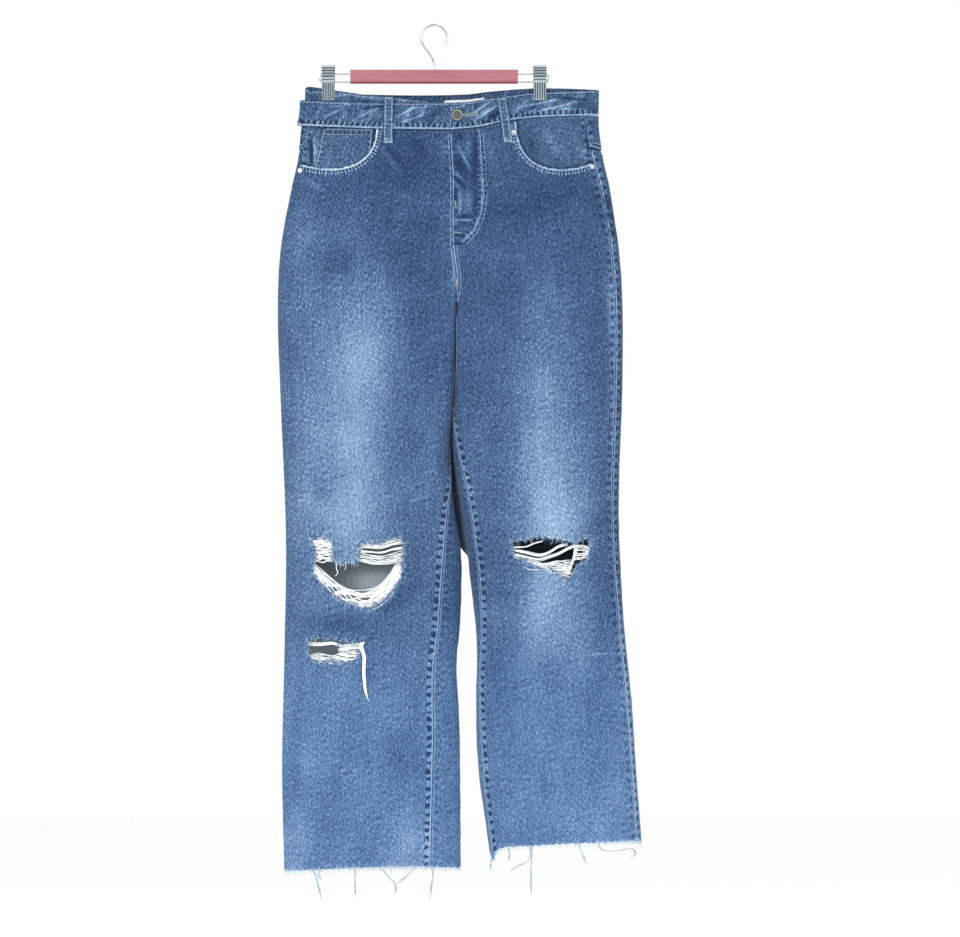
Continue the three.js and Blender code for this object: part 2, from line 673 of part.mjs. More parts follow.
barMesh.position.z = BAR.top - BAR.height / 2;

// The hook: a straight shank, a swan neck to the wearer's right and an open round top.
const hookCentre = HOOK_EYE + HOOK_RADIUS;
const hookPoints = [new THREE.Vector3(0, 0, BAR.top + SEAM_GAP), new THREE.Vector3(0, 0, -50)];
hookPoints.push(new THREE.Vector3(-3.5, 0, -41.5));
for (let a = 215; a >= -30; a -= 17.5) {
  const r = (a * Math.PI) / 180;
  hookPoints.push(new THREE.Vector3(hookCentre * Math.cos(r), 0, -HOOK_EYE + hookCentre * Math.sin(r)));
}
const hookCurve = new THREE.CatmullRomCurve3(hookPoints, false, "centripetal");
wire("hanger_hook", hookCurve, HOOK_RADIUS, 10, 44, 0xa9adad);

for (const [side, sign] of [["right", -1], ["left", 1]]) {
  // A hairpin of wire from the end of the bar through the clip.
  const near = BAR.length / 2 + SEAM_GAP;
  const bendRadius = (ARM_Z[0] - ARM_Z[1]) / 2;
  const middle = (ARM_Z[0] + ARM_Z[1]) / 2;
  const armPoints = [[near, ARM_Z[0]], [near + 15, ARM_Z[0]], [ARM_END - bendRadius - 6, ARM_Z[0]]];
  for (let a = 90; a >= -90; a -= 30) {
    const r = (a * Math.PI) / 180;
    armPoints.push([ARM_END - bendRadius + bendRadius * Math.cos(r), middle + bendRadius * Math.sin(r)]);
  }
  armPoints.push([ARM_END - bendRadius - 6, ARM_Z[1]], [near + 15, ARM_Z[1]], [near, ARM_Z[1]]);
  const armCurve = new THREE.CatmullRomCurve3(
    armPoints.map(([x, z]) => new THREE.Vector3(sign * x, 0, z)), false, "centripetal",
  );
  wire("clip_arm_" + side, armCurve, WIRE_RADIUS, 8, 34, 0xc3c7c7);

  // Two sprung plates that turn on a pin and grip the cloth at their feet.
  for (const [face, out, inset] of [["front", -1, 0], ["back", 1, CLIP.plate + SEAM_GAP]]) {
    const side2d = [[12.5, -53.7], [6, -67], [5, -80], [CLIP.grip, -96], [CLIP.grip, -100.4]];
    const plate = new THREE.Shape();
    side2d.forEach(([y, z], i) => (i ? plate.lineTo(out * y, z) : plate.moveTo(out * y, z)));
    [...side2d].reverse().forEach(([y, z]) => plate.lineTo(out * (y + CLIP.plate), z));
    const jaw = new THREE.ExtrudeGeometry(plate, { depth: CLIP.width, bevelEnabled: false });
    jaw.rotateX(Math.PI / 2);
    jaw.rotateZ(Math.PI / 2);
    jaw.translate(-CLIP.width / 2 + sign * CLIP_X, 0, 0);
    let solid = toSolid(jaw);
    for (const end of [-1, 1]) {
      const earX = sign * CLIP_X + end * (CLIP.width / 2 - CLIP.plate / 2 - inset);
      const ear = new THREE.BoxGeometry(CLIP.plate, 9, CLIP.earHeight).translate(earX, out * 2.2, middle);
      solid = solid.add(toSolid(ear));
    }
    const bore = new THREE.CylinderGeometry(CLIP.pin + SEAM_GAP, CLIP.pin + SEAM_GAP, 40, 12);
    bore.rotateZ(Math.PI / 2).translate(sign * CLIP_X, 0, middle);
    addMesh("clip_" + side + "_" + face, toGeometry(solid.subtract(toSolid(bore))), steel(0x9fb0b8));
  }
  const pin = new THREE.CylinderGeometry(CLIP.pin, CLIP.pin, CLIP.width + 1.6, 12);
  pin.rotateZ(Math.PI / 2).translate(sign * CLIP_X, 0, middle);
  addMesh("clip_pin_" + side, pin, steel(0x8d979c));
}

export default group;
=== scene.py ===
import bpy
import math
import numpy as np
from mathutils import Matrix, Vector
from mathutils.bvhtree import BVHTree


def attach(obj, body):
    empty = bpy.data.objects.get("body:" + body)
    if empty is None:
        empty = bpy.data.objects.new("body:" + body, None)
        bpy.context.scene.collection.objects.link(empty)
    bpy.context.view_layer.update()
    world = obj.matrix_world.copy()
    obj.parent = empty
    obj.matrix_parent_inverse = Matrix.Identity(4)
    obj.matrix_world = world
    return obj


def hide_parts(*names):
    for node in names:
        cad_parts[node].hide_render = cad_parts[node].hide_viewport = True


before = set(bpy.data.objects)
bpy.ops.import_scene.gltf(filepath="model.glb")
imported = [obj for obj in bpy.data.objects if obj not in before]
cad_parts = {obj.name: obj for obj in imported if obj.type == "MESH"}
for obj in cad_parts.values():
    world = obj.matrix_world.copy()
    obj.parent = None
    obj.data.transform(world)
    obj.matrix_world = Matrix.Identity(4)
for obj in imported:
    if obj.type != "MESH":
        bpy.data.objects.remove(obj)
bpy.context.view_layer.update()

# ---- The garment's form and its leg panels ------------------------------------------------
# Four leg panels of washed 12.5 oz cotton twill, each in one piece from waist to raw hem and
# felled to its neighbours down the outseam, the inseam and the centre. The fronts are torn at
# the knees. Sizes are in mm: lines are lists of (height, size) or of (across, height).
THICK = 1.6
CLIP_X, PINCH, WAIST_BOW, END_BOW = 143, 3, 12, 5
CROTCH = -386
OUTER = {
    "right": [(-80, -174), (-120, -176), (-141, -180), (-180, -184), (-222, -193), (-303, -207),
              (-384, -211), (-506, -207), (-690, -200), (-850, -202), (-1000, -205), (-1142, -202)],
    "left": [(-80, 223), (-141, 223), (-182, 229), (-222, 238), (-303, 250), (-384, 255),
             (-506, 254), (-668, 250), (-789, 256), (-911, 267), (-1103, 280), (-1130, 281)],
}
INNER = {
    "right": [(-80, 24), (-141, 21), (-200, 24), (-295, 24.5), (-345, 30.5), (-400, 30),
              (-480, 27), (-566, 21.5), (-641, 26), (-708, 36), (-809, 35), (-870, 31),
              (-971, 35), (-1142, 35)],
    "left": [(-80, 24), (-141, 21), (-200, 24), (-295, 24.5), (-345, 30.5), (-400, 31),
             (-480, 29.5), (-566, 24.5), (-641, 34), (-701, 43), (-749, 49), (-830, 56),
             (-911, 56), (-1032, 63.5), (-1130, 75)],
}
HALF_DEPTH = {
    "right": [(-80, 8), (-150, 16), (-222, 24), (-303, 30), (-384, 33), (-480, 33), (-590, 30),
              (-708, 26), (-850, 23), (-1142, 21)],
    "left": [(-80, 8), (-150, 16), (-222, 24), (-303, 30), (-384, 33), (-480, 33), (-590, 33),
             (-708, 35), (-850, 38), (-1000, 41), (-1130, 43)],
}
OUTER_ROUND = [(-80, 9), (-120, 12), (-180, 34), (-260, 58), (-1142, 68)]
INNER_ROUND = [(-300, 9), (-400, 10), (-520, 16), (-640, 36), (-760, 55), (-1142, 62)]
SIDE_SEAM = {
    "right": [(-100, 12), (-185, 8), (-280, 3), (-400, 0), (-1142, -3)],
    "left": [(-100, 21), (-1130, 20)],
}
INSEAM = {
    "right": [(-386, 0), (-593, 3), (-650, 20), (-707, 33), (-830, 38), (-985, 44), (-1142, 47)],
    "left": [(-386, 0), (-492, 8), (-561, 26), (-640, 30), (-715, 28), (-784, 25), (-830, 21),
             (-900, 18), (-1130, 19)],
}
FRONT_TOP = {
    "right": [(-182, -124), (-75, -126.5), (-45, -131.5), (-18, -141.3), (24, -141.3)],
    "left": [(24, -141.4), (70, -138.6), (110, -129.2), (150, -124), (224, -121.8)],
}
YOKE_FOOT = {"right": [(-182, -166), (24, -204)], "left": [(24, -204), (229, -164)]}
HEM = {
    "front": {"right": [(-204, -1140), (-180, -1142), (-80, -1138), (0, -1135), (35, -1137)],
              "left": [(75, -1127), (92, -1113), (150, -1107), (220, -1103), (280, -1101)]},
    "back": {"right": [(-204, -1140), (35, -1137)],
             "left": [(75, -1128), (92, -1114), (150, -1106), (280, -1102)]},
}
# The largest soft folds: from x, from z, to x, to z, width, height, + standing out.
FOLDS = {
    "front": [(-148, -300, -152, -660, 26, 4), (-60, -420, -92, -690, 24, -3),
              (-150, -880, -160, -1142, 24, 4), (-82, -900, -78, -1142, 22, -4),
              (-30, -860, -34, -1142, 20, 3), (150, -330, 140, -660, 26, 4),
              (84, -450, 96, -700, 22, -3), (150, -800, 150, -1110, 24, 4),
              (205, -760, 222, -1105, 22, -4)],
    "back": [(-120, -400, -130, -700, 26, -4), (-60, -450, -66, -900, 26, 4),
             (-140, -800, -140, -1140, 26, 4), (150, -400, 150, -700, 26, -4),
             (200, -500, 215, -1000, 26, 4), (130, -760, 140, -1120, 26, -4)],
}


def mix(a, b, f):
    return a + (b - a) * f


def ease(start, end, value):
    """A soft step from 0 at start to 1 at end."""
    f = np.clip((value - start) / (end - start), 0, 1)
    return f * f * (3 - 2 * f)


def read(line, place):
    """Smooth reading of a list of (place, size)."""
    x, y = np.array(sorted(line), float).T
    low = np.maximum(np.arange(len(x)) - 1, 0)
    high = np.minimum(np.arange(len(x)) + 1, len(x) - 1)
    slope = (y[high] - y[low]) / (x[high] - x[low])
    at = np.clip(place, x[0], x[-1])
    i = np.clip(np.searchsorted(x, at, side="right") - 1, 0, len(x) - 2)
    w = x[i + 1] - x[i]
    f = (at - x[i]) / w
    return ((2 * f**3 - 3 * f**2 + 1) * y[i] + (f**3 - 2 * f**2 + f) * w * slope[i]
            + (3 * f**2 - 2 * f**3) * y[i + 1] + (f**3 - f**2) * w * slope[i + 1])


def fold_height(face, x, z):
    """How far the large folds stand out or in at x and z."""
    total = 0.0
    for x0, z0, x1, z1, width, height in FOLDS[face]:
        f = np.clip((z - z0) / (z1 - z0), 0, 1)
        fades = ease(z0 + 60, z0 - 40, z)
        if z1 >= -1090:
            fades = fades * ease(z1 - 70, z1 + 30, z)
        total = total + height * fades * np.exp(-(((x - mix(x0, x1, f)) / width) ** 2))
    return total


def half_depth(side, face, x, z):
    """Half the garment's depth: pinched under the clips, full from the hip down."""
    past = np.abs(x) - CLIP_X
    bow = np.where(past < 0, WAIST_BOW * np.cos(np.pi * x / (2 * CLIP_X)) ** 2,
                   END_BOW * np.sin(np.pi * np.clip(past, 0, 80) / 160) ** 2)
    full = read(HALF_DEPTH[side], z)
    if face == "back":
        full = full + 13 * ease(-120, -250, z) * ease(-470, -300, z)
    return mix(PINCH + bow, full, ease(-108, -215, z)) + fold_height(face, x, z)


def section_path(side, face, z):
    """One face of a half section at a height, from the outermost line to the inner seam."""
    inwards, out = (1 if side == "right" else -1), (-1 if face == "front" else 1)
    outer, inner = read(OUTER[side], z), read(INNER[side], z)
    width, round_out = abs(inner - outer), read(OUTER_ROUND, z)
    start = -336 if face == "front" else -318
    lift = 1.0 if z >= start else math.sqrt(max(0, 1 - ((start - z) / (start - CROTCH)) ** 2))
    lift = 0.0 if z <= CROTCH else lift
    deep = half_depth(side, face, inner, z)
    corner = mix(read(INNER_ROUND, z), deep, ease(-450, -700, z))
    turn = min(deep, corner, deep * (1 - lift))
    turn_wide = read(INNER_ROUND, z) * turn / min(deep, corner)
    a = np.linspace(0, np.pi / 2, 60)
    along = np.r_[round_out * (1 - np.cos(a)), np.linspace(round_out, width - turn_wide, 60)[1:]]
    lifts = np.r_[np.sin(a), np.ones(59)]
    x = outer + inwards * along
    y = out * half_depth(side, face, x, z) * lifts
    if lift < 1:
        b = np.linspace(0, np.pi / 2, 16)[1:]
        x = np.r_[x, outer + inwards * (width - turn_wide * (1 - np.sin(b)))]
        y = np.r_[y, out * (deep - turn * (1 - np.cos(b)))]
        wall = deep * (1 - lift) - turn
        if wall > 0.05:
            x = np.r_[x, np.full(8, inner)]
            y = np.r_[y, out * (deep - turn - wall * np.linspace(0, 1, 9)[1:])]
    return np.c_[x, y]


def run_along(line):
    """How far along a line each of its points lies."""
    return np.r_[0, np.cumsum(np.linalg.norm(np.diff(line, axis=0), axis=1))]


STEP = 2.0
heights = np.arange(-1152.0, -76.0, STEP)
sections = {}
for side in ("right", "left"):
    for face in ("front", "back"):
        paths, lengths = [], []
        for z in heights:
            path = section_path(side, face, z)
            at = run_along(path)
            even = np.linspace(0, at[-1], 401)
            paths.append(np.c_[np.interp(even, at, path[:, 0]), np.interp(even, at, path[:, 1])])
            lengths.append(at[-1])
        sections[side, face] = np.array(paths), np.array(lengths)


def face_length(side, face, z):
    """How wide one face of a half is along the cloth at a height."""
    return np.interp(z, heights, sections[side, face][1])


def on_face(side, face, z, distance):
    """Points at a distance along one face, read between the worked-out sections."""
    row = np.clip((z - heights[0]) / STEP, 0, len(heights) - 1.001)
    column = np.clip(distance / face_length(side, face, z), 0, 0.99999) * 400
    i, j = row.astype(int), column.astype(int)
    f, g = (row - i)[..., None], (column - j)[..., None]
    paths = sections[side, face][0]
    lower = paths[i, j] * (1 - g) + paths[i, j + 1] * g
    upper = paths[i + 1, j] * (1 - g) + paths[i + 1, j + 1] * g
    flat = lower * (1 - f) + upper * f
    return np.stack([flat[..., 0], flat[..., 1], z], -1)


def skin(side, z, distance):
    """Points on the garment's outer face. Distance runs along the cloth from the outermost
    line, + over the front and - over the back, and past the inner line onto the front."""
    z, distance = np.broadcast_arrays(np.asarray(z, float), np.asarray(distance, float))
    front, back = face_length(side, "front", z), face_length(side, "back", z)
    ahead = on_face(side, "front", z, np.where(distance >= 0, distance, front + distance + back))
    behind = on_face(side, "back", z, -distance)
    return np.where(((distance < 0) & (-distance <= back))[..., None], behind, ahead)


def spread(t):
    """Spaces columns closer together near both edges."""
    return mix(t, 0.5 - 0.5 * np.cos(np.pi * t), 0.45)


def column_place(w):
    """The evenly counted place of a column that lies a share w of the way across."""
    fine = np.linspace(0, 1, 801)
    return np.interp(w, spread(fine), fine)


def seam_ends(side, face, z):
    """Where a leg panel starts and ends along the cloth."""
    inseam = np.where(z > CROTCH, 0, read(INSEAM[side], z))
    start = read(SIDE_SEAM[side], z)
    if face == "front":
        return start, face_length(side, "front", z) - inseam
    return start, -face_length(side, "back", z) - inseam


def leg_grid(side, face, t, rows):
    """Heights and distances of a leg panel's grid, drawn out to its own top and hem lines."""
    place = lambda z: mix(read(OUTER[side], z), read(INNER[side], z), t)
    top, top_row, level = FRONT_TOP[side], -141, -232
    if face == "back":
        top, top_row, level = [(x, z - 0.3) for x, z in YOKE_FOOT[side]], -204, -296
    raised = mix(level, read(top, place(-141)), (rows - level) / (top_row - level))
    lowered = mix(-970, read(HEM[face][side], place(-1137)), (rows + 970) / (970 - 1137))
    z = np.where(rows > level, raised, np.where(rows < -970, lowered, rows))
    start, end = seam_ends(side, face, z)
    return z, mix(start, end, spread(t)), start, end


def across_both(points):
    """Unit normals of a grid of points."""
    n = np.cross(np.gradient(points, axis=1), np.gradient(points, axis=0))
    return n / np.maximum(np.linalg.norm(n, axis=2, keepdims=True), 1e-9)


def normals_of(points, out):
    """Normals turned to y's sign out, and the winding that gives them."""
    n = across_both(points)
    middle = n[n.shape[0] // 2, n.shape[1] // 2, 1]
    return (n, 1) if middle * out > 0 else (-n, -1)


def ripple(x, z, seed, short, long):
    """A smooth random height about -1 to 1, with waves from short to long in mm."""
    dice = np.random.default_rng(seed)
    total = 0.0
    for _ in range(14):
        wave, turn = 2 * np.pi / dice.uniform(short, long), dice.uniform(0, np.pi)
        total = total + np.sin(wave * (x * np.cos(turn) + z * np.sin(turn)) + dice.uniform(0, 7))
    return total / math.sqrt(14)


def creases(x, z, marks):
    """Soft ridges (+) and troughs (-): from x, from z, to x, to z, width, height."""
    total = 0.0
    for x0, z0, x1, z1, width, height in marks:
        dx, dz = x1 - x0, z1 - z0
        f = np.clip(((x - x0) * dx + (z - z0) * dz) / (dx * dx + dz * dz), 0, 1)
        off = np.hypot(x - x0 - f * dx, z - z0 - f * dz)
        total = total + height * np.exp(-((off / width) ** 2)) * (0.35 + 0.65 * np.sin(np.pi * f))
    return total


def line_distance(x, z, line):
    """Distance to a line of (x, z) points, and how far along it the nearest point is."""
    line = np.array(line, float)
    best, run, done = np.full(x.shape, 1e9), np.zeros(x.shape), 0.0
    for (x0, z0), (x1, z1) in zip(line[:-1], line[1:]):
        length = math.hypot(x1 - x0, z1 - z0)
        f = np.clip(((x - x0) * (x1 - x0) + (z - z0) * (z1 - z0)) / length**2, 0, 1)
        off = np.hypot(x - x0 - f * (x1 - x0), z - z0 - f * (z1 - z0))
        run = np.where(off < best, done + f * length, run)
        best, done = np.minimum(off, best), done + length
    return best, run


def inside(x, z, outline):
    """Whether points lie inside a closed outline."""
    found = np.zeros(x.shape, bool)
    for (x0, z0), (x1, z1) in zip(outline, outline[1:] + outline[:1]):
        if z0 != z1:
            found ^= ((z0 > z) != (z1 > z)) & (x < (x1 - x0) * (z - z0) / (z1 - z0) + x0)
    return found


def clear_of(x, z, outline):
    """Signed distance from a closed outline, + outside it."""
    off, _ = line_distance(x, z, outline + outline[:1])
    return np.where(inside(x, z, outline), -off, off)


def bezier(a, b, c, d):
    """A curve from a to d that leaves towards b and arrives from c."""
    f = np.linspace(0, 1, 14)[:, None]
    a, b, c, d = (np.array(p, float) for p in (a, b, c, d))
    points = (1 - f) ** 3 * a + 3 * (1 - f) ** 2 * f * b + 3 * (1 - f) * f**2 * c + f**3 * d
    return [tuple(p) for p in points]


MOUTH = {
    "right": [(-200, -186)] + bezier((-183, -186), (-125, -203), (-82, -190), (-78, -141)),
    "left": bezier((111, -130), (112, -190), (160, -206), (216, -185)),
}
MOUTH_OUTLINE = {
    "right": MOUTH["right"] + [(-78, -110), (-200, -110)],
    "left": MOUTH["left"] + [(240, -185), (240, -110), (111, -110)],
}
RIP = {
    "knee": [(-165, -693), (-158, -690), (-141, -692), (-137, -700), (-136, -722), (-128, -727),
             (-115, -725), (-104, -727), (-102, -712), (-100, -699), (-80, -700), (-62, -695),
             (-46, -690), (-41, -702), (-41, -722), (-45, -744), (-56, -763), (-71, -779), (-88, -787),
             (-105, -784), (-127, -775), (-142, -764), (-156, -750), (-163, -736), (-160, -715)],
    "shin": [(-170, -829), (-150, -826), (-128, -830), (-112, -834), (-97, -831), (-98, -846),
             (-106, -856), (-120, -860), (-140, -858), (-160, -859), (-170, -850)],
    "left": [(106, -697), (124, -694), (140, -690), (152, -692), (172, -694), (190, -699), (208, -691),
             (210, -712), (203, -724), (193, -727), (184, -746), (176, -748), (160, -736), (140, -731),
             (122, -723), (108, -718)],
}
RIPS = {"right": ["knee", "shin"], "left": ["left"]}


def from_tears(side, x, z):
    """Signed distance from the nearest rip."""
    return np.minimum.reduce([clear_of(x, z, RIP[rip]) for rip in RIPS[side]])


# Creases pressed in by wear and by hanging: across the hips, behind the knees, by the fly.
CREASES = {
    "front": [(27, -181, 60, -184, 3, -1.3), (27, -190, 58, -186, 3, 1.0), (28, -207, 62, -203, 3.5, -1.2),
              (28, -216, 62, -210, 3, 1.2), (28, -257, 62, -254, 3.5, -1.6), (30, -265, 60, -262, 3, 1.2),
              (40, -150, 60, -172, 3, 1.2), (27, -170, 44, -152, 3, 1.0), (50, -225, 53, -250, 4, 0.9),
              (70, -148, 78, -190, 6, 1.2), (-40, -150, -52, -190, 8, 0.9), (-58, -152, -66, -200, 7, -0.9),
              (35, -240, 95, -212, 7, 1.3),
              (38, -262, 120, -246, 8, -1.2), (40, -300, 130, -318, 9, 1.2),
              (14, -246, -60, -222, 7, 1.2), (10, -275, -85, -262, 9, -1.2), (8, -310, -95, -330, 9, 1.2),
              (-100, -205, -160, -235, 8, -1.2), (190, -225, 238, -262, 8, -1.3),
              (-190, -640, -120, -668, 9, 1.4), (-30, -640, -62, -672, 8, -1.2),
              (-20, -790, -66, -800, 8, 1.2), (-180, -800, -140, -812, 8, -1.3),
              (78, -660, 120, -672, 8, 1.2), (245, -655, 205, -684, 8, -1.4),
              (78, -770, 130, -764, 8, -1.1), (240, -778, 190, -764, 8, 1.2),
              (214, -846, 252, -852, 3.5, -1.0), (-190, -990, -120, -1004, 10, 1.0),
              (120, -940, 230, -962, 10, 1.0)],
    "back": [(-30, -300, -120, -330, 10, -2), (-25, -345, -150, -380, 10, 2.2),
             (60, -300, 150, -326, 10, -2), (56, -345, 190, -382, 10, 2.2),
             (-180, -650, -60, -668, 9, 2.2), (-180, -684, -50, -700, 9, -2),
             (-170, -722, -70, -742, 10, 1.8), (80, -655, 220, -640, 9, 2.2),
             (84, -690, 226, -682, 9, -2), (90, -728, 220, -744, 10, 1.8),
             (-160, -980, -40, -1000, 12, 1.4), (110, -960, 240, -985, 12, 1.4)],
}

# Marks in the colour alone, by the fly, at the pocket mouths, over the hips and knees and down the
# outseam: pale lines (+) rubbed by wear, and dark lines (-) where creases and folds left the cloth unworn,
# deepened with painted shade.
WEAR_AND_PAINTED_SHADE = {
    "front": [(30, -146, 39, -154, 5, -0.55), (46, -150, 46, -182, 6, 0.35),
              (32, -162, 49, -195, 1.5, 1.1), (30, -182, 40, -196, 5.5, -0.9),
              (25, -196, 40, -209, 1.5, 1.0), (25, -203, 41, -217, 2.4, -0.9),
              (25, -209, 35, -220, 1.4, 0.8), (55, -150, 56, -218, 4.5, -0.6),
              (57, -200, 73, -217, 1.4, 0.6), (35, -222, 35, -255, 1.8, 0.9),
              (27.5, -219, 28, -252, 2.8, -0.7), (46, -225, 46, -252, 4.5, 0.5),
              (56, -222, 56, -252, 2.8, -0.6), (26, -257, 52, -260, 1.8, -0.9),
              (27, -261.5, 54, -262.5, 1.3, 1.0), (34, -266, 52, -268, 2.0, -0.6),
              (27, -273, 37, -289, 4, -0.6), (26, -294, 44, -296, 2, -0.9),
              (25.5, -300, 25.5, -380, 3, 0.35), (121, -209, 167, -241, 9, -0.16),
              (132, -226, 150, -262, 8, -0.12), (196, -206, 222, -240, 7, -0.2),
              (-178, -206, -150, -222, 3, 0.4), (-73, -163, -46, -198, 4, 0.35),
              (-66, -160, -44, -186, 3, -0.35), (-30, -150, -12, -176, 6, -0.3),
              (18, -150, 10, -190, 5, 0.25), (70, -150, 84, -200, 5, 0.25),
              (-160, -640, -120, -600, 9, -0.12), (-150, -800, -96, -812, 14, -0.25),
              (-70, -800, -40, -760, 9, -0.2), (-180, -880, -190, -1040, 8, -0.15),
              (120, -940, 230, -962, 9, -0.18), (205, -850, 250, -846, 1.6, 0.6),
              (236, -330, 240, -420, 5, 0.4)],
    "back": [(228, -236, 240, -238, 4, -0.9), (230, -257, 244, -259, 4, -0.8),
             (236, -277, 246, -279, 4, -0.8)],
}


def dressed(side, face, z, distance, start, end):
    """Panel points with their drape. It dies away at the edges, where the seams hold them."""
    points = skin(side, z, distance)
    n, wind = normals_of(points, -1 if face == "front" else 1)
    x, seed = points[..., 0], {"right": 10, "left": 20}[side] + (0 if face == "front" else 5)
    hold = ease(0, 34, np.abs(distance - start)) * ease(0, 26, np.abs(end - distance))
    hold = hold * ease(-142, -178, z) if face == "front" else hold * ease(-200, -225, z)
    if face == "front":
        hold = hold * (0.25 + 0.75 * ease(0, 36, from_tears(side, x, z)))
    soft = ripple(x, z * 0.42, seed, 60, 170) * 1.25 + ripple(x, z * 0.8, seed + 1, 16, 44) * 0.26
    lift = (soft + creases(x, z, CREASES[face])) * hold
    points = points + n * lift[..., None]
    return points, normals_of(points, -1 if face == "front" else 1)[0], wind


FLY = [(60.5, -141), (62.5, -170), (66, -229), (63.5, -252), (54, -276), (38.5, -292)]
SEAM_FACTS = ("across", "beat", "wear", "pucker")


def nearest_seam(*lines):
    """The nearest of several seams, each: off, run, width, pitch, worn light, puckered dark."""
    best = None
    for off, run, width, pitch, wear, pucker in lines:
        off, run = np.broadcast_arrays(off, run)
        these = [off / width, run / pitch, off * 0 + wear, off * 0 + pucker]
        if best is None:
            best = these
        else:
            nearer = these[0] < best[0]
            best = [np.where(nearer, new, old) for new, old in zip(these, best)]
    return dict(zip(SEAM_FACTS, best))


SEAM_HIGH = 0.7


def seam_relief(facts):
    """A seam's valley, its ridge of doubled cloth and the puckers beside it."""
    a, beat = facts["across"], facts["beat"]
    waves = np.sin(2 * np.pi * beat + 1.7 * np.sin(2.3 * beat))
    ridge = np.exp(-(((a - 0.32) / 0.2) ** 2))
    return SEAM_HIGH * (ridge - 1.3 * np.exp(-((a / 0.13) ** 2))
                        + 0.55 * facts["pucker"] * waves * np.exp(-(((a - 0.62) / 0.34) ** 2)))


def patches(x, z, base, marks):
    """Soft patches of fading: x, z, half width, half height, amount."""
    total = base + np.zeros(np.shape(x))
    for x0, z0, wide, tall, amount in marks:
        total = total + amount * np.exp(-(((x - x0) / wide) ** 2) - ((z - z0) / tall) ** 2)
    return total


# Hand sanding and wash: pale thighs and knees, dark hips, inner legs and outseams. Each patch
# is x, z, half width, half height, amount.
FADES = {
    "front": [(-108, -590, 52, 190, 0.76), (-176, -560, 36, 260, 0.36), (-110, -672, 60, 55, 0.22),
              (-6, -640, 30, 110, 0.30), (152, -590, 46, 200, 0.74), (118, -510, 40, 110, 0.04),
              (172, -690, 46, 70, 0.44), (158, -792, 50, 56, 0.36), (52, -600, 34, 130, 0.20),
              (-92, -420, 48, 90, 0.46), (-160, -290, 50, 70, 0.12), (-34, -190, 44, 60, -0.20),
              (66, -190, 40, 46, -0.10), (222, -770, 24, 110, -0.14), (-127, -317, 24, 24, -0.26),
              (-46, -320, 24, 26, -0.26), (146, -232, 56, 40, -0.17), (246, -470, 14, 190, 0.36),
              (212, -655, 26, 60, 0.22), (89, -884, 26, 50, -0.22), (-46, -990, 30, 50, -0.14),
              (-190, -1110, 26, 44, 0.26), (-30, -1112, 46, 44, 0.30), (216, -1080, 44, 40, 0.2),
              (-100, -820, 70, 26, -0.16), (24, -250, 12, 90, 0.12)],
    "back": [(-110, -300, 70, 80, 0.3), (140, -300, 70, 80, 0.3), (-100, -560, 60, 200, 0.28),
             (140, -560, 60, 200, 0.28), (-110, -690, 70, 40, 0.25), (150, -690, 70, 40, 0.25)],
}
BASE_FADE = 0.1
# Painted light and shade on the wrong side of the backs: painted shade inside both knees, and painted pools
# of light where light falls into the right knee and shin holes.
PAINTED_LINING_LIGHT = [(-110, -740, 90, 50, -0.42), (-78, -750, 27, 14, 0.95), (158, -715, 80, 60, -0.75),
           (-150, -845, 34, 22, 0.3)]


def wash(face, x, z):
    """How a piece has faded, how much it takes the lower leg's paler tone, and the painted light and shade
    on its wrong side.
    """
    tone = ease(-700, -940, z)
    fade = patches(x, z, BASE_FADE, FADES[face]) + 0.26 * tone
    fade = fade + creases(x, z, WEAR_AND_PAINTED_SHADE[face]) + 0.06 * ripple(x, z * 0.5, 91, 40, 130)
    return {"fade": fade, "tone": tone, "lining_painted_light": patches(x, z, 0.6, PAINTED_LINING_LIGHT) if face == "back" else 0.7}


def linear(colour):
    """sRGB hex to linear."""
    parts = [int(colour[i:i + 2], 16) / 255 for i in (1, 3, 5)]
    return tuple(c / 12.92 if c <= 0.04045 else ((c + 0.055) / 1.055) ** 2.4 for c in parts) + (1,)


def set_inputs(material, made, inputs):
    """Fills a node's inputs, each with a value or with a link: (node, output)."""
    for socket, value in inputs:
        if isinstance(value, tuple) and isinstance(value[0], bpy.types.Node):
            material.node_tree.links.new(value[0].outputs[value[1]], made.inputs[socket])
        else:
            made.inputs[socket].default_value = value


def node(material, kind, inputs=(), **settings):
    """Adds one shader node. A colour mix has its colours at 6 and 7, and its result at 2."""
    made = material.node_tree.nodes.new(kind)
    for name, value in settings.items():
        setattr(made, name, value)
    set_inputs(material, made, inputs)
    return made


def new_material(name):
    material = bpy.data.materials.new(name)
    material.use_nodes = True
    return material, material.node_tree.nodes["Principled BSDF"]


# Noise in the dye, in m of cloth: name, turn, size across, size along, detail, roughness.
DYE_NOISE = [("slub", 0.3, 0.0017, 0.005, 3.0, 0.75), ("speck", 0.0, 0.0012, 0.0018, 2.0, 0.7),
             ("streak", 0.05, 0.0036, 0.075, 2.0, 0.6), ("mottle", 0.0, 0.022, 0.034, 3.0, 0.6)]
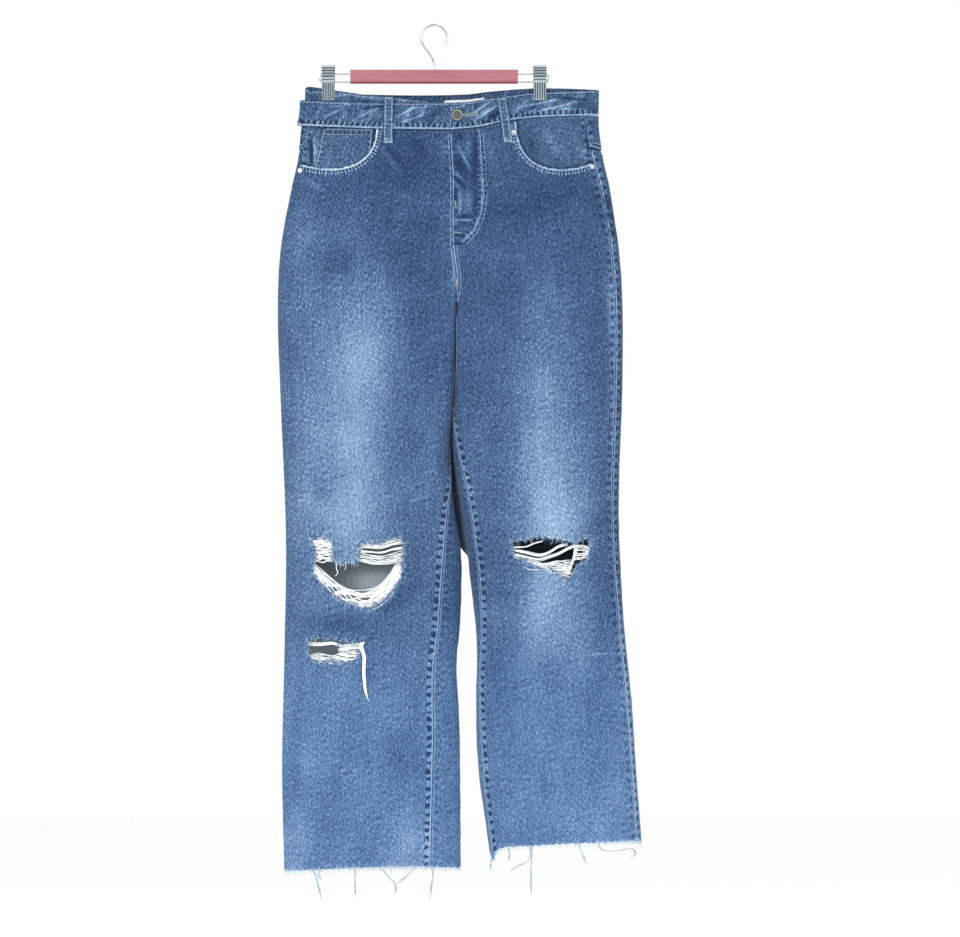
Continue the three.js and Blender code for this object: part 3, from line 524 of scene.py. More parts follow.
# How the paleness of the dye is worked out, step by step: result, operation, terms.
DYE_STEPS = [
    ("slubs", "SMOOTHSTEP", "slub", 0.37, 0.66),
    ("pale", "ADD", "fade", -1.48),
    ("pale", "MULTIPLY_ADD", "slubs", 0.9, "pale"),
    ("pale", "MULTIPLY_ADD", "speck", 0.84, "pale"),
    ("pale", "MULTIPLY_ADD", "twill", 0.32, "pale"),
    ("pale", "MULTIPLY_ADD", "streak", 0.5, "pale"),
    ("pale", "MULTIPLY_ADD", "mottle", 0.4, "pale"),
    # The seams' worn light ridge, and the band of puckers beyond it.
    ("rise", "SMOOTHSTEP", "across", 0.06, 0.12),
    ("fall", "SMOOTHSTEP", "across", 0.34, 0.22),
    ("ridge", "MULTIPLY", "rise", "fall"),
    ("worn", "MULTIPLY", "ridge", "wear"),
    ("rise", "SMOOTHSTEP", "across", 0.24, 0.36),
    ("fall", "SMOOTHSTEP", "across", 1.05, 0.88),
    ("band", "MULTIPLY", "rise", "fall"),
    ("puckered", "MULTIPLY", "band", "pucker"),
    # Dark dashes cross the band at each beat of the seam, a little unevenly.
    ("turn", "MULTIPLY", "beat", 2 * math.pi),
    ("turn", "MULTIPLY_ADD", "wander", 9.0, "turn"),
    ("wave", "SINE", "turn"),
    ("dash", "SMOOTHSTEP", "wave", -0.1, 0.55),
    ("dash", "MULTIPLY", "dash", "puckered"),
    ("pale", "MULTIPLY_ADD", "worn", 0.7, "pale"),
    ("pale", "MULTIPLY_ADD", "dash", -1.15, "pale"),
    ("pale", "MULTIPLY_ADD", "puckered", 0.3, "pale"),
    # The dark valley along the seam itself.
    ("valley", "SMOOTHSTEP", "across", 0.1, 0.02),
    ("sewn", "MAXIMUM", "wear", "pucker"),
    ("valley", "MULTIPLY", "valley", "sewn"),
    ("pale", "MULTIPLY_ADD", "valley", -0.6, "pale"),
    # White weft shows through where an edge is frayed.
    ("open", "SMOOTHSTEP", "slub", 0.42, 0.56),
    ("frayed", "MULTIPLY", "fray", "open"),
    ("pale", "MULTIPLY_ADD", "frayed", 0.6, "pale"),
    ("height", "MULTIPLY_ADD", "twill", 0.35, "slubs"),
    ("height", "MULTIPLY_ADD", "dash", -0.8, "height"),
]
# Ranges of paleness over which the dye passes from each shade to the next, up to white weft.
SHADE_RANGES = [(-0.35, 0.4), (0.4, 1.25), (1.3, 2.4)]
BARE_WEFT = "#dbe7ef"


def denim(name, palettes):
    """Washed cotton twill. The eye sees steep slubby streaks of white weft between blue warp,
    pale worn ridges along seams and dark puckers beside them. Real twill lines lie 0.8 mm
    apart, too fine to show, so they are drawn 2.2 mm apart. The two palettes, dark to light,
    are for the upper and the lower leg."""
    m, shader = new_material(name)
    uv = node(m, "ShaderNodeUVMap", uv_map="cloth")
    found = {}
    for fact in ("fade", "tone", "fray") + SEAM_FACTS:
        found[fact] = (node(m, "ShaderNodeAttribute", attribute_name=fact, attribute_type="GEOMETRY"), 2)
    for key, turn, across, along, detail, rough in DYE_NOISE:
        where = node(m, "ShaderNodeMapping", [("Vector", (uv, 0)), ("Rotation", (0, 0, turn)),
                     ("Scale", (across, along, 1))], vector_type="TEXTURE")
        found[key] = (node(m, "ShaderNodeTexNoise", [("Vector", (where, 0)), ("Scale", 1.0),
                           ("Detail", detail), ("Roughness", rough)]), 0)
    where = node(m, "ShaderNodeMapping", [("Vector", (uv, 0)), ("Rotation", (0, 0, 0.5)),
                 ("Scale", (0.0022, 0.0022, 1))], vector_type="TEXTURE")
    found["twill"] = (node(m, "ShaderNodeTexWave", [("Vector", (where, 0)), ("Scale", 0.314),
                           ("Distortion", 2.6), ("Detail", 2.0), ("Detail Scale", 1.4)],
                           bands_direction="X"), 1)
    found["wander"] = (node(m, "ShaderNodeTexNoise", [("Vector", (uv, 0)), ("Scale", 90.0),
                            ("Detail", 3.0)]), 0)
    for key, how, *terms in DYE_STEPS:
        values = [found.get(term, term) for term in terms]
        if how == "SMOOTHSTEP":
            made = node(m, "ShaderNodeMapRange", zip(("Value", "From Min", "From Max"), values),
                        interpolation_type=how)
        else:
            made = node(m, "ShaderNodeMath", enumerate(values), operation=how)
        found[key] = (made, 0)
    picks = [node(m, "ShaderNodeMapRange", [("Value", found["pale"]), ("From Min", low),
                  ("From Max", high)]) for low, high in SHADE_RANGES]
    dyes = []
    for darkest, *paler in palettes:
        dye = linear(darkest)
        for pick, shade in zip(picks, paler + [BARE_WEFT]):
            dye = (node(m, "ShaderNodeMix", [(0, (pick, 0)), (6, dye), (7, linear(shade))],
                        data_type="RGBA"), 2)
        dyes.append(dye)
    colour = node(m, "ShaderNodeMix", [(0, found["tone"]), (6, dyes[0]), (7, dyes[1])],
                  data_type="RGBA")
    bump = node(m, "ShaderNodeBump", [("Height", found["height"]), ("Strength", 0.5),
                ("Distance", 0.00035)])
    set_inputs(m, shader, [("Base Color", (colour, 2)), ("Normal", (bump, 0)), ("Roughness", 0.92),
                           ("Specular IOR Level", 0.25), ("Sheen Weight", 0.08)])
    return m


LOWER_LEG = ("#1a325a", "#4a6d98", "#8ea9c6")
washed_denim = denim("washed_cotton_denim", [("#162a4c", "#3d5a80", "#86a2bf"), LOWER_LEG])
# The band, the facings, the coin pocket and the loops are a greyer slate blue than the legs.
slate_denim = denim("slate_cotton_denim", [("#152744", "#3e5a7c", "#8aa4bd"), LOWER_LEG])

# The wrong side of the twill shows mostly undyed weft: a pale grey blue, flecked.
inside_denim, shader = new_material("denim_wrong_side")
uv = node(inside_denim, "ShaderNodeUVMap", uv_map="cloth")
at = node(inside_denim, "ShaderNodeMapping", [("Vector", (uv, 0)), ("Scale", (0.0022, 0.006, 1))],
          vector_type="TEXTURE")
flecks = node(inside_denim, "ShaderNodeTexNoise", [("Vector", (at, 0)), ("Scale", 1.0), ("Detail", 3.0)])
# The wrong side's paleness follows the painted light and shade set per point on the backs.
lining_painted_light = node(inside_denim, "ShaderNodeAttribute", attribute_name="lining_painted_light", attribute_type="GEOMETRY")
flecked = node(inside_denim, "ShaderNodeMath", [(0, (flecks, 0)), (1, 0.35), (2, (lining_painted_light, 2))],
               operation="MULTIPLY_ADD")
paler = node(inside_denim, "ShaderNodeMath", [(0, (flecked, 0)), (1, -0.17)], use_clamp=True)
inner_mix = node(inside_denim, "ShaderNodeMix", [(0, (paler, 0)), (6, linear("#39444e")),
                 (7, linear("#d3e0ea"))], data_type="RGBA")
bump = node(inside_denim, "ShaderNodeBump", [("Height", (flecks, 0)), ("Strength", 0.4),
            ("Distance", 0.0004)])
set_inputs(inside_denim, shader, [("Base Color", (inner_mix, 2)), ("Normal", (bump, 0)),
                                  ("Roughness", 0.95), ("Specular IOR Level", 0.2)])

FACTS = ("fade", "tone", "fray", "lining_painted_light") + SEAM_FACTS
surfaces, grids = {}, {}


def cut_cells(data, quads, field):
    """Drops the cells where the field is under 0 and trims those that it crosses."""
    keep = field > 0
    count = keep[quads].sum(1)
    faces, extra, made = [tuple(q) for q in quads[count == 4]], [], {}
    for q in quads[(count > 0) & (count < 4)]:
        if keep[q[0]] == keep[q[2]] and keep[q[1]] == keep[q[3]]:
            continue
        ring = []
        for a, b in zip(q, np.roll(q, -1)):
            if keep[a]:
                ring.append(int(a))
            if keep[a] != keep[b]:
                key = (min(a, b), max(a, b))
                if key not in made:
                    f = field[key[0]] / (field[key[0]] - field[key[1]])
                    made[key] = len(data) + len(extra)
                    extra.append(mix(data[key[0]], data[key[1]], f))
                ring.append(made[key])
        faces.append(tuple(ring))
    data = np.vstack([data] + ([np.array(extra)] if extra else []))
    used = sorted({i for f in faces for i in f})
    number = {old: new for new, old in enumerate(used)}
    return data[used], [tuple(number[i] for i in f) for f in faces]


def take_only(thing):
    """Leaves one thing selected and active."""
    bpy.ops.object.select_all(action="DESELECT")
    thing.select_set(True)
    bpy.context.view_layer.objects.active = thing


def add_object(name, data):
    thing = bpy.data.objects.new(name, data)
    bpy.context.scene.collection.objects.link(thing)
    take_only(thing)
    return thing


def cloth_piece(name, node_name, points, wind, along, facts, thick, flat, area, field=None,
                rests_on=("waistband_back",), slot="denim", materials=None):
    """A sheet from a grid of points in mm, walled inwards, with its cloth map and its facts."""
    rows, columns = points.shape[:2]
    grids[name] = points, across_both(points) * wind
    way = np.sign(points[rows // 2, -1, 0] - points[rows // 2, 0, 0])
    layers = [points.reshape(-1, 3) / 1000, (along * way / 1000).reshape(-1, 1),
              (points[..., 2] / 1000).reshape(-1, 1)]
    for fact in FACTS:
        default = {"across": 9.0, "lining_painted_light": 0.6}.get(fact, 0.0)
        layers.append(np.broadcast_to(facts.get(fact, default), (rows, columns)).reshape(-1, 1))
    data = np.hstack(layers)
    i = np.arange((rows - 1) * columns).reshape(rows - 1, columns)[:, :-1].ravel()
    quads = np.c_[i, i + 1, i + columns + 1, i + columns]
    if wind < 0:
        quads = quads[:, ::-1]
    faces = [tuple(q) for q in quads]
    if field is not None:
        data, faces = cut_cells(data, quads, field.ravel())
    mesh = bpy.data.meshes.new(name)
    mesh.from_pydata(data[:, :3].tolist(), [], faces)
    surfaces[name] = BVHTree.FromPolygons(data[:, :3].tolist(), faces)
    corners = np.zeros(len(mesh.loops), np.int32)
    mesh.loops.foreach_get("vertex_index", corners)
    mesh.uv_layers.new(name="cloth").data.foreach_set("uv", data[corners, 3:5].astype(np.float32).ravel())
    for k, fact in enumerate(FACTS):
        mesh.attributes.new(fact, "FLOAT", "POINT").data.foreach_set(
            "value", data[:, 5 + k].astype(np.float32))
    for material in materials or (washed_denim, inside_denim):
        mesh.materials.append(material)
    piece = add_object(name, mesh)
    wall = piece.modifiers.new("wall", "SOLIDIFY")
    wall.thickness = thick / 1000
    wall.offset = -1
    wall.material_offset = 1
    wall.material_offset_rim = 1
    bpy.ops.object.modifier_apply(modifier="wall")
    bpy.ops.object.shade_smooth_by_angle(angle=math.radians(50))
    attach(piece, "root")
    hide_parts(node_name)


def rows_down(top, foot, step, fine):
    """Heights of a grid's rows, closer together where fine says so."""
    v = [top]
    while v[-1] > foot + step:
        here = [s for high, low, s in fine if low <= v[-1] <= high]
        v.append(v[-1] - (min(here) if here else step))
    return np.array(v + [foot])


# The cut of each leg panel: its greatest width and its length, and its flat area in m2.
LEG_CUT = {("right", "front"): ((0.255, 1.02), 0.225), ("left", "front"): ((0.25, 1.0), 0.205),
           ("right", "back"): ((0.33, 0.98), 0.265), ("left", "back"): ((0.33, 0.98), 0.265)}
PANEL_TOP, PANEL_FOOT = {"front": -141, "back": -204}, -1137
COLUMNS, ROW_STEP = {"front": 100, "back": 84}, 3.6
# Finer rows at the pocket mouths and the rips: from height, to height, step.
FINE_ROWS = {"front": [(-122, -215, 2.2), (-686, -795, 1.7), (-820, -866, 1.7)], "back": []}
# How white each seam's ridge is worn and how dark it puckers.
OUTSEAM_WORN = {"right": 0.3, "left": 1.1}
OUTSEAM_DARK = {("right", "front"): 0.12, ("left", "front"): 0.45,
                ("right", "back"): 0.2, ("left", "back"): 1.2}
# The same for the centre seam above the crotch, then for the inseam below it.
INNER_WORN = {"front": (0.85, 1.1), "back": (0.85, 0.2)}
INNER_DARK = {"front": (0.25, 1.15), "back": (1.0, 0.25)}
# The slack of the left back panel bellies in behind the narrow gap between the legs, where its colour is
# darkened with painted shade.
BELLY = [(-386, 0), (-400, 3), (-480, 8), (-566, 12), (-640, 17), (-704, 17), (-722, 0)]
for side in ("right", "left"):
    for face in ("front", "back"):
        v = rows_down(PANEL_TOP[face], PANEL_FOOT, ROW_STEP, FINE_ROWS[face])
        even = np.linspace(0, 1, COLUMNS[face])
        w = spread(even) * 0.4 + even * 0.6
        z, distance, start, end = leg_grid(side, face, *np.meshgrid(column_place(w), v))
        points, n, wind = dressed(side, face, z, distance, start, end)
        belly_and_painted_shade = 0.0
        if (side, face) == ("left", "back"):
            deep = read(HALF_DEPTH[side], z)
            corner = np.minimum(read(INNER_ROUND, z), deep)
            reach = read(BELLY, z)
            belly_and_painted_shade = ease(deep - corner, deep - 0.35 * corner, points[..., 1])
            belly_and_painted_shade = belly_and_painted_shade * np.exp(-(((points[..., 0] - read(INNER[side], z) - 6) / 22) ** 2))
            points[..., 0] -= reach * belly_and_painted_shade
            # From here on this weight also sets the painted shade laid on the bellied cloth in the narrow
            # gap between the legs.
            belly_and_painted_shade = belly_and_painted_shade * np.clip(reach / 6, 0, 1)
        x = points[..., 0]
        from_side, from_inner = np.abs(distance - start), np.abs(end - distance)
        above = z > CROTCH
        lines = [(from_side, -z, 9.5, 12.5, OUTSEAM_WORN[side], OUTSEAM_DARK[side, face]),
                 (from_inner, -z, 9.5, np.where(above, 9.5, 11.5),
                  np.where(above, *INNER_WORN[face]), np.where(above, *INNER_DARK[face])),
                 (z[:1] - z, distance, 7.5, 6.5, 0.3, 0.3)]
        hem = z - z[-1:]
        field, edge = hem - 1.1 - 0.6 * ripple(distance, z * 0.2, 41, 3, 8), hem
        if face == "front":
            off, run = line_distance(x, z, MOUTH[side])
            rolled = 2.0 + (0.9 * ease(-146, -128, x) if side == "right" else 0)
            lines.append((off, run, 9.5, 4.2, rolled, 2.3))
            torn = np.minimum(60, from_tears(side, x, z))
            ragged = 0.8 * ripple(x, z, 33, 3.2, 9) + 0.5 * ripple(x, z * 0.2, 34, 2.6, 5)
            mouth = clear_of(x, z, MOUTH_OUTLINE[side])
            field, edge = np.minimum.reduce([field, mouth, torn + ragged]), np.minimum(hem, torn)
            if side == "left":
                off, run = line_distance(x, z, FLY)
                lines.append((np.abs(off - 0.2), run, 6.0, 7.5, 1.0, 0.9))
        facts = nearest_seam(*lines)
        points = points + n * seam_relief(facts)[..., None]
        facts.update(wash(face, x, z))
        # The crease heights also paint the colour: a painted highlight on each ridge and painted shade in
        # each trough.
        facts["fade"] = facts["fade"] + 0.09 * creases(x, z, CREASES[face]) - 1.2 * belly_and_painted_shade
        facts["fray"] = ease(7, 0, edge)
        cloth_piece("denim_%s_%s" % (face, side), "%s_%s" % (face, side), points, wind,
                    distance, facts, THICK, *LEG_CUT[side, face], field)

# ---- Yokes and back pockets ---------------------------------------------------------------
# The yokes shape the seat and are felled to the back panels. On each back panel lies a
# pointed patch pocket, turned in at its edges and sewn on with two rows of thread.
YOKE_TOP = {
    "right": [(-182, -124), (-134, -122), (-92, -128.8), (24, -128.8)],
    "left": [(24, -128.8), (49, -128.8), (84, -124.8), (134, -120.8), (224, -122.2)],
}
for side in ("right", "left"):
    t, v = np.meshgrid(column_place(np.linspace(0, 1, 84)), np.linspace(0, 1, 26))
    top, foot = YOKE_TOP[side], YOKE_FOOT[side]
    edge = lambda line: read(line, mix(read(OUTER[side], line[0][1]), read(INNER[side], line[0][1]), t))
    z = mix(edge(top), edge(foot), v)
    start, end = seam_ends(side, "back", z)
    distance = mix(start, end, spread(t))
    points = skin(side, z, distance)
    n, wind = normals_of(points, 1)
    from_side, from_inner, from_foot = abs(distance - start), abs(end - distance), z - z[-1]
    facts = nearest_seam((from_side, -z, 8.5, 12.5, 0.6, 0.8), (from_inner, -z, 8.5, 9.5, 0.8, 0.8),
                         (from_foot, distance, 8.5, 9.0, 0.9, 0.8))
    hold = ease(0, 18, np.minimum(from_side, from_inner)) * ease(0, 14, from_foot)
    lift = seam_relief(facts) + 0.5 * hold * ripple(points[..., 0], z, 61, 30, 80)
    facts.update(wash("back", points[..., 0], z))
    cloth_piece("denim_yoke_" + side, "yoke_" + side, points + n * lift[..., None], wind, distance,
                facts, THICK, (0.23, 0.085), 0.014)

    # The patch: narrower at its foot, which comes down to a point.
    t, rows = np.meshgrid(np.linspace(0.29, 0.79, 62), np.linspace(-226, -352, 60))
    towards = (0.54 - t) * 0.12 * (-226 - rows) / 126
    drop_by = ease(-330, -352, rows) * 22 * (1 - abs((t - 0.54) / 0.25))
    z, distance, start, end = leg_grid(side, "back", t + towards, rows - drop_by)
    points, n, wind = dressed(side, "back", z, distance, start, end)
    across, down = np.meshgrid(np.linspace(-1, 1, 62), np.linspace(0, 1, 60))
    wide = face_length(side, "back", z) * 0.25
    from_edge, from_top, from_foot = (1 - abs(across)) * wide, down * 128, (1 - down) * 128
    facts = nearest_seam((from_edge, -z, 7.5, 8.0, 0.9, 0.6), (from_top, distance, 9, 8.0, 1.0, 0.7),
                         (from_foot, distance, 7.5, 8.0, 0.9, 0.6))
    rim = np.minimum(np.minimum(from_edge, from_top), from_foot)
    lift = 1.9 - 0.5 * ease(2.0, 0, rim) + 0.5 * seam_relief(facts)
    facts.update(wash("back", points[..., 0], z))
    facts["fade"] = facts["fade"] + 0.14
    cloth_piece("denim_back_pocket_" + side, "back_pocket_" + side, points + n * lift[..., None], wind,
                distance, facts, 1.2, (0.15, 0.155), 0.021, rests_on=("denim_back_" + side,))

# ---- Front pockets ------------------------------------------------------------------------
# Behind each curved mouth lies a denim facing, which carries the hidden pocket bag. The right
# one also carries a small coin pocket with its own doubled and sewn top edge.
for side, inset, reach, pale in (("right", 3.7, 0.6, 0.24), ("left", 1.9, 0.62, 0.16)):
    t, rows = np.meshgrid(np.linspace(0.0015, reach, 68), np.linspace(-139.5, -228, 40))
    z, distance, start, end = leg_grid(side, "front", t, rows)
    points, n, wind = dressed(side, "front", z, distance, start, end)
    x = points[..., 0]
    facts = wash("front", x, z)
    folds = creases(x, z, [(196, -166, 212, -176, 6, 1.0), (150, -150, 172, -190, 10, -0.6),
                           (-170, -148, -150, -186, 7, 0.8), (-96, -146, -104, -176, 6, 0.7)])
    # Painted shadow cast by the pocket mouth's edge onto the facing.
    shade = np.exp(-((clear_of(x, z, MOUTH_OUTLINE[side]) / 3.2) ** 2))
    # Dark lines of painted shade in the facing's creases and beside the coin pocket's edge; the pale lines
    # are rubbed wear.
    marks = creases(x, z, [(-167, -149, -166, -187, 2.4, -1.0), (-162.5, -149, -161.5, -187, 1.2, 0.6),
                           (-118, -152, -113, -187, 3, -0.5), (-100, -149, -104, -184, 2, 0.8),
                           (-132, -150, -130, -176, 4, 0.35), (150, -142, 172, -178, 7, 0.3),
                           (206, -136, 209, -180, 2.4, -0.6), (128, -150, 140, -176, 7, -0.25)])
    # The fold heights paint a highlight on ridges and shade in troughs, and the mouth's painted shadow is
    # taken off.
    facts["fade"] = facts["fade"] + pale + 0.22 * folds + 1.3 * marks - 0.6 * shade
    facts.update(nearest_seam((abs(distance - start), -z, 8, 10, 0.3, 0.5)))
    meets = (1 - ease(0, 14, abs(distance - start))) * ease(-1, -7, clear_of(x, z, MOUTH_OUTLINE[side]))
    lift = folds * 0.4 - inset * (1 - 0.9 * meets)
    cloth_piece("denim_facing_" + side, "pocket_facing_" + side, points + n * lift[..., None],
                wind, distance, facts, 1.2, (0.155, 0.09), 0.0125, materials=(slate_denim, inside_denim))

t, rows = np.meshgrid(np.linspace(0.16, 0.47, 46), np.linspace(-152, -214, 36))
z, distance, start, end = leg_grid("right", "front", t, rows)
points, n, wind = dressed("right", "front", z, distance, start, end)
x = points[..., 0]
from_edge = np.minimum(distance - distance[:, :1], distance[:, -1:] - distance)
facts = nearest_seam((from_edge, -z, 6, 6.5, 0.9, 0.5), (z[:1] - z, distance, 7, 6.5, 1.0, 0.6))
facts.update(wash("front", x, z))
facts["fade"] = facts["fade"] + 0.18
cloth_piece("denim_coin_pocket", "coin_pocket", points - n * 2.05, wind, distance, facts, 1.2,
            (0.08, 0.065), None, rests_on=("denim_facing_right",), materials=(slate_denim, inside_denim))

# ---- Waistband ----------------------------------------------------------------------------
# A straight doubled band of denim, 36 mm high, sewn along both edges. The left end laps over
# the right at the button. The right front hangs slack, and behind it a folded stretch and the
# back of the band are held in the clip.
BAND_TOP = {
    "right": [(-182, -100), (-81, -103.4), (24, -104)],
    "left": [(24, -104), (57, -102.7), (84, -98), (116, -92.6), (134, -90), (224, -87)],
    "back": [(-176, -86), (-155, -82), (-134, -84.5), (-92, -92), (49, -92), (84, -88), (134, -84),
             (224, -87)],
    "fold": [(-172, -88), (-134, -86.5), (-92, -93), (-60, -96.5), (-18, -102)],
}
BAND_FOOT = {
    "right": [(-182, -135.5), (-81, -139.4), (24, -140.7)],
    "left": [(24, -140.7), (70, -137), (110, -127.5), (150, -123), (224, -121)],
    "back": [(-176, -122), (-134, -121), (-92, -128), (49, -128), (84, -124), (134, -120), (224, -121)],
    "fold": [(-172, -122.5), (-75, -125), (-45, -129.5), (-18, -140)],
}
BAND_CREASES = {
    "right": [(-162, -134, -152, -108, 4, 0.5), (-128, -132, -114, -108, 4, 0.6),
              (-92, -134, -80, -110, 4, 0.7), (-44, -136, -30, -108, 4, 0.8),
              (-22, -134, -12, -108, 3.5, 0.6), (-6, -136, 4, -110, 3.5, -0.6)],
    "left": [(57, -124, 85, -106, 3.5, 0.9), (64, -130, 92, -112, 4, -0.7),
             (104, -120, 130, -97, 4, 0.8), (118, -122, 144, -100, 4, -0.6),
             (146, -118, 166, -94, 4, 0.6), (172, -118, 196, -92, 4, 0.8),
             (186, -118, 210, -96, 4, -0.6)],
    "fold": [(-150, -118, -140, -92, 5, 0.6), (-110, -120, -100, -96, 5, -0.6)],
    "back": [(-110, -118, -96, -92, 5, 0.7), (-30, -122, -20, -98, 5, -0.6), (60, -118, 78, -94, 5, 0.7),
             (120, -114, 136, -90, 5, -0.6), (170, -116, 186, -92, 5, 0.6)],
}

# Thin lines along the band's creases: rubbed pale by wear (+), and dark with painted shade in the crease
# troughs (-).
BAND_MARKS = {
    "right": [(-152, -126, -122, -111, 1.3, 0.8), (-142, -110, -112, -106, 1.2, 0.6),
              (-112, -131, -84, -114, 1.3, 0.7), (-52, -124, -22, -108, 1.4, 1.0),
              (-46, -132, -12, -119, 1.2, 0.8), (-100, -112, -66, -108, 1.2, -0.7),
              (-34, -112, -4, -109, 1.2, 0.7)],
    "left": [(48, -121, 78, -101, 1.3, 1.2), (54, -128, 88, -106, 1.2, 1.0), (24, -112, 46, -106, 1.3, 0.7),
             (116, -110, 170, -98, 1.4, 0.9), (136, -116, 192, -103, 1.3, 0.9),
             (116, -121, 140, -111, 1.3, 0.7), (160, -96, 206, -100, 1.3, -0.8),
             (150, -112, 206, -112, 1.3, 0.6), (64, -134, 96, -112, 1.2, -0.8)],
    "back": [(-140, -90, -112, -100, 1.3, 0.6), (-100, -96, -60, -99, 1.3, 0.5)],
    "fold": [(-150, -96, -112, -93, 1.2, 0.8), (-106, -95, -66, -100, 1.2, 0.8),
             (-60, -99, -30, -103, 1.2, 0.6)],
}


def band_run(side, face, line, seam, t, v, reach=1.0):
    """Heights and distances of a stretch of the band between its two edges."""
    top, foot = BAND_TOP[line], BAND_FOOT[line]
    edge = lambda l: read(l, mix(read(OUTER[side], l[0][1]), read(INNER[side], l[0][1]), t * reach))
    z = mix(edge(top), edge(foot), v)
    end = face_length(side, "front", z) if face == "front" else -face_length(side, "back", z)
    return z, mix(seam + 0 * z, end, spread(t * reach))


BAND_HIGH, BAND_THICK = 36, 2.6


def band_piece(piece, line, points, run, v, length, out_by=0.0, field=None, ends=()):
    """A stretch of the band, with its creases, its two sewn edges and any sewn end."""
    x, z = points[..., 0], points[..., 2]
    n, wind = normals_of(points, 1 if line == "back" else -1)
    facts = nearest_seam((v * BAND_HIGH, run, 6.0, 6.2, 0.45, 0.25),
                         ((1 - v) * BAND_HIGH, run, 9.0, 7.4, 1.45, 1.2), *ends)
    folds = creases(x, z, BAND_CREASES[line])
    rim = np.minimum(v, 1 - v) * BAND_HIGH
    lift = out_by + folds * ease(0, 7, rim) - 0.7 * ease(1.8, 0, rim) + 0.55 * seam_relief(facts)
    # The band's colour follows its folds: a painted highlight on each ridge and painted shade in each
    # trough.
    facts["fade"] = (0.19 + 0.5 * folds + 0.1 * ripple(x * 1.6, z * 0.9 + x * 0.5, 71, 12, 44)
                     + creases(x, z, BAND_MARKS[line]))
    cloth_piece("denim_band_" + piece, "waistband_" + piece, points + n * lift[..., None], wind, run,
                facts, BAND_THICK, (length, BAND_HIGH / 1000), None, field,
                materials=(slate_denim, slate_denim), rests_on=("clip_right_front", "clip_left_front"))


# Front stretches: name, line, side, columns, rows, start past the outermost line, share, length.
for piece, line, side, across, down, seam, reach, length in (
        ("front_right", "right", "right", 150, 29, -2, 1.0, 0.21),
        ("fold", "fold", "right", 90, 25, 6.3, 0.79, 0.165),
        ("front_left", "left", "left", 170, 33, 9.3, 1.0, 0.21)):
    even = np.linspace(0, 1, across)
    t, v = np.meshgrid(even if line == "fold" else column_place(even), np.linspace(0, 1, down))
    z, distance = band_run(side, "front", line, seam, t, v, reach)
    points = skin(side, z, distance)
    x = points[..., 0]
    out_by, field, ends = 0.0, None, ()
    if line == "right":
        out_by = 3.4 * ease(6, -16, x) + 3.6 * ease(-85, -130, x)
    if line == "left":
        field = line_distance(x, z, [(39.5, -120.2), (55, -119.2)])[0] - 0.75
        ends = [(abs(distance[:, -1:] - distance), z, 5.0, 6.0, 0.8, 0.4)]
    band_piece(piece, line, points, distance, v, length, out_by, field, ends)

halves = []
for side, seam in (("right", 6.3), ("left", 9.3)):
    t, v = np.meshgrid(column_place(np.linspace(0, 0.999, 100)), np.linspace(0, 1, 25))
    z, distance = band_run(side, "back", "back", seam, t, v)
    halves.append(skin(side, z, distance))
points = np.concatenate([halves[0], halves[1][:, ::-1]], axis=1)
v = np.concatenate([v, v], axis=1)
step = np.hypot(*np.diff(points[..., :2], axis=1).transpose(2, 0, 1))
run = np.concatenate([np.zeros((len(step), 1)), np.cumsum(step, axis=1)], axis=1)
band_piece("back", "back", points, run, v, 0.42)
back_band, back_run = points, run[0]

# ---- Label --------------------------------------------------------------------------------
# A bare white tab of woven cotton tape, 24 mm high and 55 mm wide, sewn inside the back of the
# waistband so that its upper half stands in the open waist.
label_cotton, shader = new_material("white_woven_cotton_tape")
uv = node(label_cotton, "ShaderNodeUVMap", uv_map="cloth")
ribs = node(label_cotton, "ShaderNodeTexWave", [("Vector", (uv, 0)), ("Scale", 420.0),
            ("Distortion", 1.0)], bands_direction="Y")
tape = node(label_cotton, "ShaderNodeMix", [(0, (ribs, 1)), (6, linear("#dfe6e8")),
            (7, linear("#fbfcfc"))], data_type="RGBA")
bump = node(label_cotton, "ShaderNodeBump", [("Height", (ribs, 1)), ("Strength", 0.3),
            ("Distance", 0.0002)])
set_inputs(label_cotton, shader, [("Base Color", (tape, 2)), ("Normal", (bump, 0)),
                                  ("Roughness", 0.85)])
# The tab covers these shares of the back band's length and of its height.
last_row, last_column = back_band.shape[0] - 1, back_band.shape[1] - 1
columns = slice(*[int(round(share * last_column)) for share in (0.478, 0.612)])
rows = np.linspace(0.2, 0.86, 16) * last_row
low = rows.astype(int)
part = (rows - low)[:, None, None]
tab = mix(back_band[low, columns], back_band[np.minimum(low + 1, last_row), columns], part)
n, wind = normals_of(tab, 1)
tab_run = np.broadcast_to(back_run[columns], tab.shape[:2])
cloth_piece("cotton_label", "label", tab - n * 2.9, wind, tab_run, {}, 0.7, (0.055, 0.024), None,
            rests_on=("denim_band_back",), slot="label_cotton", materials=(label_cotton, label_cotton))

# ---- Belt loops ---------------------------------------------------------------------------
# Five strips of denim, folded in three to 12.5 mm, with a light row of thread near each edge.
# They bridge the waistband and are bar-tacked above and below it.


def distance_at(side, face, z, x):
    """Distance along the cloth at which a face reaches x."""
    found = np.zeros(z.shape)
    for at in np.ndindex(z.shape):
        row = int(round((z[at] - heights[0]) / STEP))
        xs, length = sections[side, face][0][row, :, 0], sections[side, face][1][row]
        steps = np.linspace(0, length, 401)
        order = 1 if side == "right" else -1
        found[at] = np.interp(x[at] * order, xs * order, steps)
    return found if face == "front" else -found


